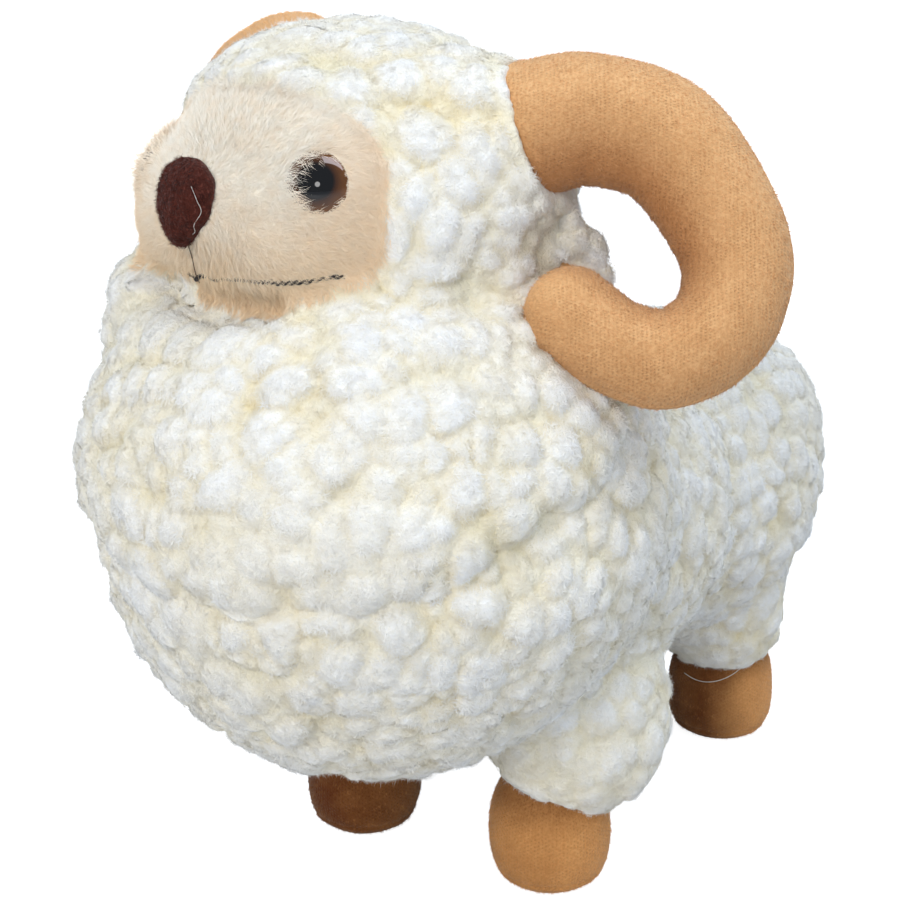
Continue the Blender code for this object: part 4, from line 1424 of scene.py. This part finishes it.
class RAM_OT_pile(bpy.types.Operator):
    """Cover the face and the chin with short pile"""
    bl_idname = "ram.pile"
    bl_label = "Face pile"

    def execute(self, context):
        coat = coat_settings(context)
        skin = bpy.data.objects["skin"]
        chance = np.random.default_rng(12)
        kinds = tuft_kinds("pile", LOCKS, lambda index: pile_build(chance, 11, 3.0, math.radians(20),
                                                                   0.068, 0.5))
        face = smoothstep(0.25, 0.6, field(skin.data, "face_share")) * (1.0 - field(skin.data, "hidden"))
        local = in_head(places(skin.data))
        size = np.ones(len(face))
        for name, side in SIDES.items():
            eye = head_place(middle_of(f"eye_{name}"))
            away = np.linalg.norm(local - eye, axis=1)
            before = smoothstep(1.5, -5.0, (local[:, 0] - eye[0]) * side)
            size = size + (0.7 if side > 0 else 1.3) * before * smoothstep(10.5, 7.0, away)
        write(skin.data, size=size)
        for seed, (name, side) in enumerate(SIDES.items()):
            write(skin.data, share=face * (local[:, 0] * side > 0.0))
            obj = grow_coat(f"face_pile_{name}", skin, coat_tree(), {
                "Spacing": coat.pile_spacing, "Crowding": 3.0 / coat.pile_spacing**2, "Share": "share",
                "Tufts": kinds, "Size": 1.0, "Spread": 0.2, "Turn": 0.75, "Tilt": 0.15,
                "Seed": 60 + seed, "Finish": pile_material(coat)})
            dress(obj, None)
        clear_kinds(kinds)
        for name in [item.name for item in skin.data.attributes]:
            if name.startswith("part_") or name in ("share", "size", "hidden"):
                skin.data.attributes.remove(skin.data.attributes[name])
        return {"FINISHED"}


def nap_over(name, ground, spacing, material, size, seed, loose=0.6):
    """Short nap over a piece of velour."""
    chance = np.random.default_rng(seed)
    kinds = tuft_kinds(f"{name}_kind", LOCKS,
                       lambda index: nap_build(chance, 7, 0.95 * size, math.radians(38), 0.11, 0.45))
    obj = grow_coat(name, ground, coat_tree(), {
        "Spacing": spacing, "Crowding": 3.0 / spacing**2, "Share": "share", "Tufts": kinds,
        "Size": 1.0, "Spread": 0.2, "Turn": loose, "Tilt": 0.2, "Seed": seed, "Finish": material})
    clear_kinds(kinds)
    return dress(obj, None)


class RAM_OT_horns(bpy.types.Operator):
    """Make the two curled velour horns with their seams and nap"""
    bl_idname = "ram.horns"
    bl_label = "Horns"

    def execute(self, context):
        trim = trim_settings(context)
        velour = velour_material("horn_velour", trim, trim.horn_light, trim.horn_dark)
        nap = nap_material("horn_nap", trim.horn_light, trim.horn_dark)
        sewing = thread_material("horn_sewing", *HORN_SEWING)
        for name, side in SIDES.items():
            obj, seam = horn_tube(f"horn_{name}", side, trim)
            dress(obj, velour, [f"horn_{name}_{part}" for part in ("root", "bend", "tip")])
            nap_over(f"horn_nap_{name}", obj, trim.nap_spacing, nap, 1.0, 70 + side)
            row = stitch_row(f"horn_stitches_{name}", seam, 2.1 * MM, 1.3 * MM, 0.17 * MM, sewing)
            dress(row, sewing)
        return {"FINISHED"}


class RAM_OT_feet(bpy.types.Operator):
    """Make the four round velour feet"""
    bl_idname = "ram.feet"
    bl_label = "Feet"

    def execute(self, context):
        trim = trim_settings(context)
        velour = velour_material("foot_velour", trim, trim.foot_lit_velour, trim.foot_shaded_velour, 0.9, 1.0)
        nap = nap_material("foot_nap", trim.foot_lit_velour, trim.foot_shaded_velour)
        for index, name in enumerate(FEET):
            obj = foot_ball(f"{name}_velour", foot_place(name), FOOT_PAINTED_LIGHT[name])
            dress(obj, velour, [name])
            nap_over(f"{name}_nap", obj, trim.nap_spacing, nap, 0.85, 80 + index)
        return {"FINISHED"}


class RAM_OT_ears(bpy.types.Operator):
    """Make the two small ears, woolly outside and lined with velour"""
    bl_idname = "ram.ears"
    bl_label = "Ears"

    def execute(self, context):
        coat = coat_settings(context)
        trim = trim_settings(context)
        chance = np.random.default_rng(13)
        kinds = tuft_kinds("ear_wool", LOCKS, lambda index: wool_build(chance))
        lining = velour_material("ear_velour", trim, trim.ear, shaded(trim.ear, 0.45))
        nap = nap_material("ear_nap", trim.ear, shaded(trim.ear, 0.5))
        for seed, name in enumerate(SIDES):
            obj = even_piece(f"ear_cloth_{name}", f"ear_{name}", 0.3 * MM, 1.0 * MM)
            mesh = obj.data
            points = places(mesh)
            inner = middle_of(f"ear_lining_{name}")
            open_share = smoothstep(4.0 * MM, 6.5 * MM, np.linalg.norm(points - np.array(inner), axis=1))
            swelling = lump_height(points, 6.0 * MM, 31) * 2.4 * MM * open_share
            points = points + outward(mesh) * swelling[:, None]
            put_places(mesh, points)
            map_skin(obj)
            nowhere = np.zeros(len(points))
            write(mesh, share=open_share, loft=0.45 + 0.55 * lump_height(points, 6.0 * MM, 31),
                  size=np.full(len(points), 0.8), face_share=nowhere,
                  lie=coat_lie(points, outward(mesh), nowhere))
            smooth_faces(mesh)
            dress(obj, skin_material(coat), [f"ear_{name}"])
            tufts = grow_coat(f"ear_fleece_{name}", obj, coat_tree(), {
                "Spacing": 1.3 * MM, "Crowding": 9.0 / (1.3 * MM) ** 2, "Share": "share",
                "Tufts": kinds, "Size": 1.0, "Spread": 0.2, "Turn": 1.2, "Tilt": 0.3,
                "Seed": 90 + seed, "Finish": fleece_material(coat)})
            dress(tufts, None)
            pad = even_piece(f"ear_velour_{name}", f"ear_lining_{name}", 0.6 * MM, 0.5 * MM)
            mesh = pad.data
            points = places(mesh)
            everywhere = np.ones(len(points))
            write(mesh, knit=points / MM, shade=0.7 + 0.3 * ripple(points, 5.0 * MM, 2),
                  share=everywhere, size=everywhere,
                  lie=coat_lie(points, outward(mesh), np.zeros(len(points))))
            map_skin(pad)
            smooth_faces(mesh)
            dress(pad, lining, [f"ear_lining_{name}"])
            nap_over(f"ear_nap_{name}", pad, 0.7 * MM, nap, 1.1, 94 + seed)
        clear_kinds(kinds)
        return {"FINISHED"}


class RAM_OT_eyes(bpy.types.Operator):
    """Make the two domed plastic eyes"""
    bl_idname = "ram.eyes"
    bl_label = "Eyes"

    def execute(self, context):
        trim = trim_settings(context)
        for name in SIDES:
            points = places(frame["nodes"][f"eye_{name}"].data)
            middle = middle_of(f"eye_{name}")
            spread = points - points.mean(axis=0)
            _, _, ways = np.linalg.svd(spread, full_matrices=False)
            axis = Vector(ways[2])
            if axis.dot(middle - HEAD.translation) < 0:
                axis = -axis
            across = axis.cross(Vector((0, 0, 1))).normalized()
            above = across.cross(axis).normalized()
            rings, disc = [], []
            rows, spokes = 28, 48
            for row in range(1, rows):
                angle = math.pi * row / rows
                wide = math.sin(angle) * EYE_DIAMETER / 2
                out_by = math.cos(angle) * EYE_DEPTH / 2
                rings.append([middle + axis * out_by
                              + (across * math.cos(turn) + above * math.sin(turn)) * wide
                              for turn in (math.tau * step / spokes for step in range(spokes))])
                disc += [math.sin(angle) if angle < math.pi / 2 else 1.0] * spokes
            obj = lofted(f"eye_dome_{name}", rings, middle - axis * EYE_DEPTH / 2,
                         middle + axis * EYE_DEPTH / 2)
            write(obj.data, disc=disc + [0.0, 1.0])
            dress(obj, eye_material(trim), [f"eye_{name}"])
        return {"FINISHED"}


class RAM_OT_nose(bpy.types.Operator):
    """Make the felt pad of the nose"""
    bl_idname = "ram.nose"
    bl_label = "Nose"

    def execute(self, context):
        trim = trim_settings(context)
        obj = even_piece("nose_pad", "nose", 0.55 * MM, 0.7 * MM, 4)
        mesh = obj.data
        points = places(mesh)
        local = in_head(points) - head_place(middle_of("nose"))
        wider = 1.0 + 0.13 * smoothstep(0.0, 6.0, local[:, 2]) - 0.22 * smoothstep(0.0, 8.5, -local[:, 2])
        side = np.array(HEAD.to_3x3() @ Vector((1.0, 0.0, 0.0)))
        points = points + side * (local[:, 0] * (wider - 1.0) * MM)[:, None]
        put_places(mesh, points)
        lump = ripple(points, 4.0 * MM, 5) * 0.22 * MM + ripple(points, 1.4 * MM, 6) * 0.10 * MM
        put_places(mesh, points + outward(mesh) * lump[:, None])
        map_skin(obj)
        swirl = np.stack([ripple(points, 3.0 * MM, seed) for seed in (1, 2, 3)], axis=1)
        ahead = in_head(points)[:, 1]
        write(mesh, lie=unit(swirl + 1e-3), share=ahead < ahead.min() + 6.0,
              size=np.ones(len(points)), shade=0.5 + 0.5 * ripple(points, 1.5 * MM, 7))
        smooth_faces(mesh)
        dress(obj, felt_material(trim), ["nose"])
        nap = nap_material("nose_nap", shaded(trim.felt, 1.9, 0.004), shaded(trim.felt, 0.6))
        nap_over("nose_nap", obj, 0.62 * MM, nap, 1.15, 51, math.pi)
        return {"FINISHED"}


def on_surface(tree, x, z, lift):
    """A place on the front of the head, across and up from its middle in millimetres."""
    way = HEAD.to_3x3() @ Vector((0.0, 1.0, 0.0))
    for inward in (1.0, 0.9, 0.8, 0.7, 0.6):
        start = HEAD @ (Vector((x * inward, -90.0, z)) * MM)
        place, normal, _, _ = tree.ray_cast(start, way)
        if place is not None:
            return place + normal * lift
    raise RuntimeError(f"nothing lies behind {x:.1f}, {z:.1f}")


class RAM_OT_mouth(bpy.types.Operator):
    """Sew the mouth and the line under the nose"""
    bl_idname = "ram.mouth"
    bl_label = "Mouth"

    def execute(self, context):
        trim = trim_settings(context)
        thread = thread_material("mouth_yarn", shaded(trim.thread, 2.5), trim.thread)
        skin = tree_of(bpy.data.objects["skin"].data)
        local = in_head(places(frame["nodes"]["mouth_thread"].data))
        order = local[np.argsort(local[:, 0])]
        line = [order[start:start + 6].mean(axis=0) for start in range(0, len(order) - 5, 6)]
        across, height = ([spot[index] for spot in line] for index in (0, 2))
        path = []
        first, last = MOUTH_SPAN
        for step in range(31):
            x = first + (last - first) * step / 30
            shown = sum(share * math.exp(-((x - place) / spread) ** 2)
                        for place, spread, share in MOUTH_SHOWN)
            z = float(np.interp(x, across, height))
            for low, high, lift in MOUTH_LIFTS:
                z += lift * smoothstep(low, high, x)
            path.append(on_surface(skin, x, z, (1.1 * shown - 0.1) * MM))
        mouth = twisted_thread("mouth_line", path, 0.52 * MM, 2, 2.4 * MM)
        dress(mouth, thread, ["mouth_thread"])
        foot_of_nose = head_place(middle_of("nose"))[2] - 8.0
        top, foot, lowest = PHILTRUM
        drop = [on_surface(skin, top + (foot - top) * step / 5,
                           foot_of_nose + (lowest - foot_of_nose) * step / 5, 1.0 * MM)
                for step in range(6)]
        philtrum = twisted_thread("philtrum_line", drop, 0.13 * MM, 1, 2.0 * MM)
        dress(philtrum, thread_material("seam_yarn", *SEAM_YARN))
        return {"FINISHED"}


class RAM_OT_strays(bpy.types.Operator):
    """Lay a few loose pale fibres on the nose and the feet"""
    bl_idname = "ram.strays"
    bl_label = "Loose fibres"

    def execute(self, context):
        nose = tree_of(bpy.data.objects["nose_pad"].data)
        pale = thread_material("loose_fibre", *LOOSE_FIBRE)
        up = head_place(middle_of("nose"))[2]
        made = [twisted_thread("on_nose", [on_surface(nose, x, up + z, 0.35 * MM) for x, z in
                                           STRAND_ON_NOSE], 0.045 * MM, 1, 2.0 * MM)]
        for name, arcs in STRANDS_ON_FEET.items():
            centre = foot_place(name)
            ball = tree_of(bpy.data.objects[f"{name}_velour"].data)
            for number, (first, from_height, last, to_height) in enumerate(arcs):
                path = []
                for step in range(8):
                    share = step / 7
                    angle = math.radians(first + (last - first) * share)
                    height = (from_height + (to_height - from_height) * share
                              - 2.2 * math.sin(share * math.pi)) * MM
                    way = Vector((math.cos(angle), math.sin(angle), 0.0))
                    place = ball.ray_cast(centre + way * 60 * MM + Vector((0, 0, height)), -way)[0]
                    path.append(place + way * 0.5 * MM)
                made.append(twisted_thread(f"on_{name}_{number}", path, 0.09 * MM, 1, 2.0 * MM))
        obj = joined("loose_fibres", made)
        dress(obj, pale)
        return {"FINISHED"}


def aim(obj, place, target, along):
    """The object looks from the place at the target, with its long side along a direction."""
    back = (place - target).normalized()
    side = along.cross(back).normalized()
    turn = Matrix((side, back.cross(side), back)).transposed().to_4x4()
    obj.matrix_world = Matrix.Translation(place) @ turn


class RAM_OT_stage(bpy.types.Operator):
    """Set the camera, the lights and the floor"""
    bl_idname = "ram.stage"
    bl_label = "Stage"

    def execute(self, context):
        settings = context.scene.plush_ram_stage
        right = Vector(CAMERA_RIGHT)
        forward = Vector(CAMERA_AHEAD).normalized()
        upward = right.cross(forward).normalized()
        lens = bpy.data.cameras.new("camera")
        lens.lens = settings.lens
        lens.sensor_width = 36.0
        lens.clip_start = 0.01
        camera = bpy.data.objects.new("camera", lens)
        context.scene.collection.objects.link(camera)
        turn = Matrix((right, upward, -forward)).transposed().to_4x4()
        camera.matrix_world = Matrix.Translation(STANCE + Vector(settings.camera_place)) @ turn
        context.scene.camera = camera

        maker = bmesh.new()
        bmesh.ops.create_grid(maker, x_segments=8, y_segments=8, size=settings.floor_size / 2)
        mesh = bpy.data.meshes.new("floor")
        maker.to_mesh(mesh)
        maker.free()
        floor = show("floor", mesh)
        material, tree, shader = new_material("pale_paper", Roughness=0.95, Specular_IOR_Level=0.05)
        grain = cloudy(tree, own_places(tree), 30.0, 3.0)
        shade = blended(tree, grain, (0.60, 0.60, 0.61), (0.63, 0.63, 0.64))
        tree.links.new(shade, shader.inputs["Base Color"])
        shader.inputs["Emission Color"].default_value = (1.0, 1.0, 1.0, 1.0)
        shown = sums(tree, "MULTIPLY", out(add(tree, "ShaderNodeLightPath"), "Is Camera Ray"), 0.9)
        tree.links.new(shown, shader.inputs["Emission Strength"])
        floor.data.materials.append(material)

        world = bpy.data.worlds.new("soft_box")
        world.use_nodes = True
        tree = world.node_tree
        ground = tree.nodes["Background"]
        ground.inputs["Color"].default_value = (0.78, 0.89, 1.0, 1.0)
        ground.inputs["Strength"].default_value = settings.sky
        seen = add(tree, "ShaderNodeBackground", {"Color": (1.0, 1.0, 1.0, 1.0), "Strength": 1.0})
        path = add(tree, "ShaderNodeLightPath")
        mix = add(tree, "ShaderNodeMixShader")
        dimmed = sums(tree, "MULTIPLY", out(path, "Is Glossy Ray"), -0.6 * settings.sky)
        tree.links.new(sums(tree, "ADD", dimmed, settings.sky), ground.inputs["Strength"])
        for index, value in enumerate((out(path, "Is Camera Ray"), out(ground), out(seen))):
            feed(tree, value, mix.inputs[index])
        tree.links.new(mix.outputs[0], tree.nodes["World Output"].inputs["Surface"])
        context.scene.world = world

        aim_at = STANCE + Vector((0.0, -0.02, 0.11))
        for name, place, size, share, tint, along in LAMPS:
            light = bpy.data.lights.new(name, "AREA")
            light.shape = "ELLIPSE" if along == UPRIGHT else "RECTANGLE"
            light.size, light.size_y = size
            light.energy = settings.key * share
            light.color = tint
            lamp = bpy.data.objects.new(name, light)
            context.scene.collection.objects.link(lamp)
            lamp.visible_glossy = name in MIRRORED_LAMPS
            lamp.visible_diffuse = name != "window"
            aim(lamp, STANCE + Vector(place), aim_at, along)
        context.scene.view_settings.view_transform = "Standard"
        return {"FINISHED"}


OPERATORS = (RAM_OT_skin, RAM_OT_fleece, RAM_OT_pile, RAM_OT_horns, RAM_OT_feet, RAM_OT_ears,
             RAM_OT_eyes, RAM_OT_nose, RAM_OT_mouth, RAM_OT_strays, RAM_OT_stage)
SETTINGS = {"plush_ram_coat": PlushRamCoat, "plush_ram_trim": PlushRamTrim,
            "plush_ram_stage": PlushRamStage}


class RAM_PT_panel(bpy.types.Panel):
    """Each piece of the toy, in the order it is made"""
    bl_idname = "RAM_PT_panel"
    bl_label = "Plush ram"
    bl_space_type = "VIEW_3D"
    bl_region_type = "UI"
    bl_category = "Plush ram"

    def draw(self, context):
        for operator in OPERATORS:
            self.layout.operator(operator.bl_idname)
        for name, kind in SETTINGS.items():
            box = self.layout.box()
            for key in kind.__annotations__:
                box.prop(getattr(context.scene, name), key)


def register():
    for kind in (*SETTINGS.values(), *OPERATORS, RAM_PT_panel):
        bpy.utils.register_class(kind)
    for name, kind in SETTINGS.items():
        setattr(bpy.types.Scene, name, bpy.props.PointerProperty(type=kind))


def unregister():
    for name in SETTINGS:
        delattr(bpy.types.Scene, name)
    for kind in reversed((*SETTINGS.values(), *OPERATORS, RAM_PT_panel)):
        bpy.utils.unregister_class(kind)


def main():
    register()
    for operator in OPERATORS:
        family, name = operator.bl_idname.split(".")
        getattr(getattr(bpy.ops, family), name)()


if __name__ == "__main__":
    main()
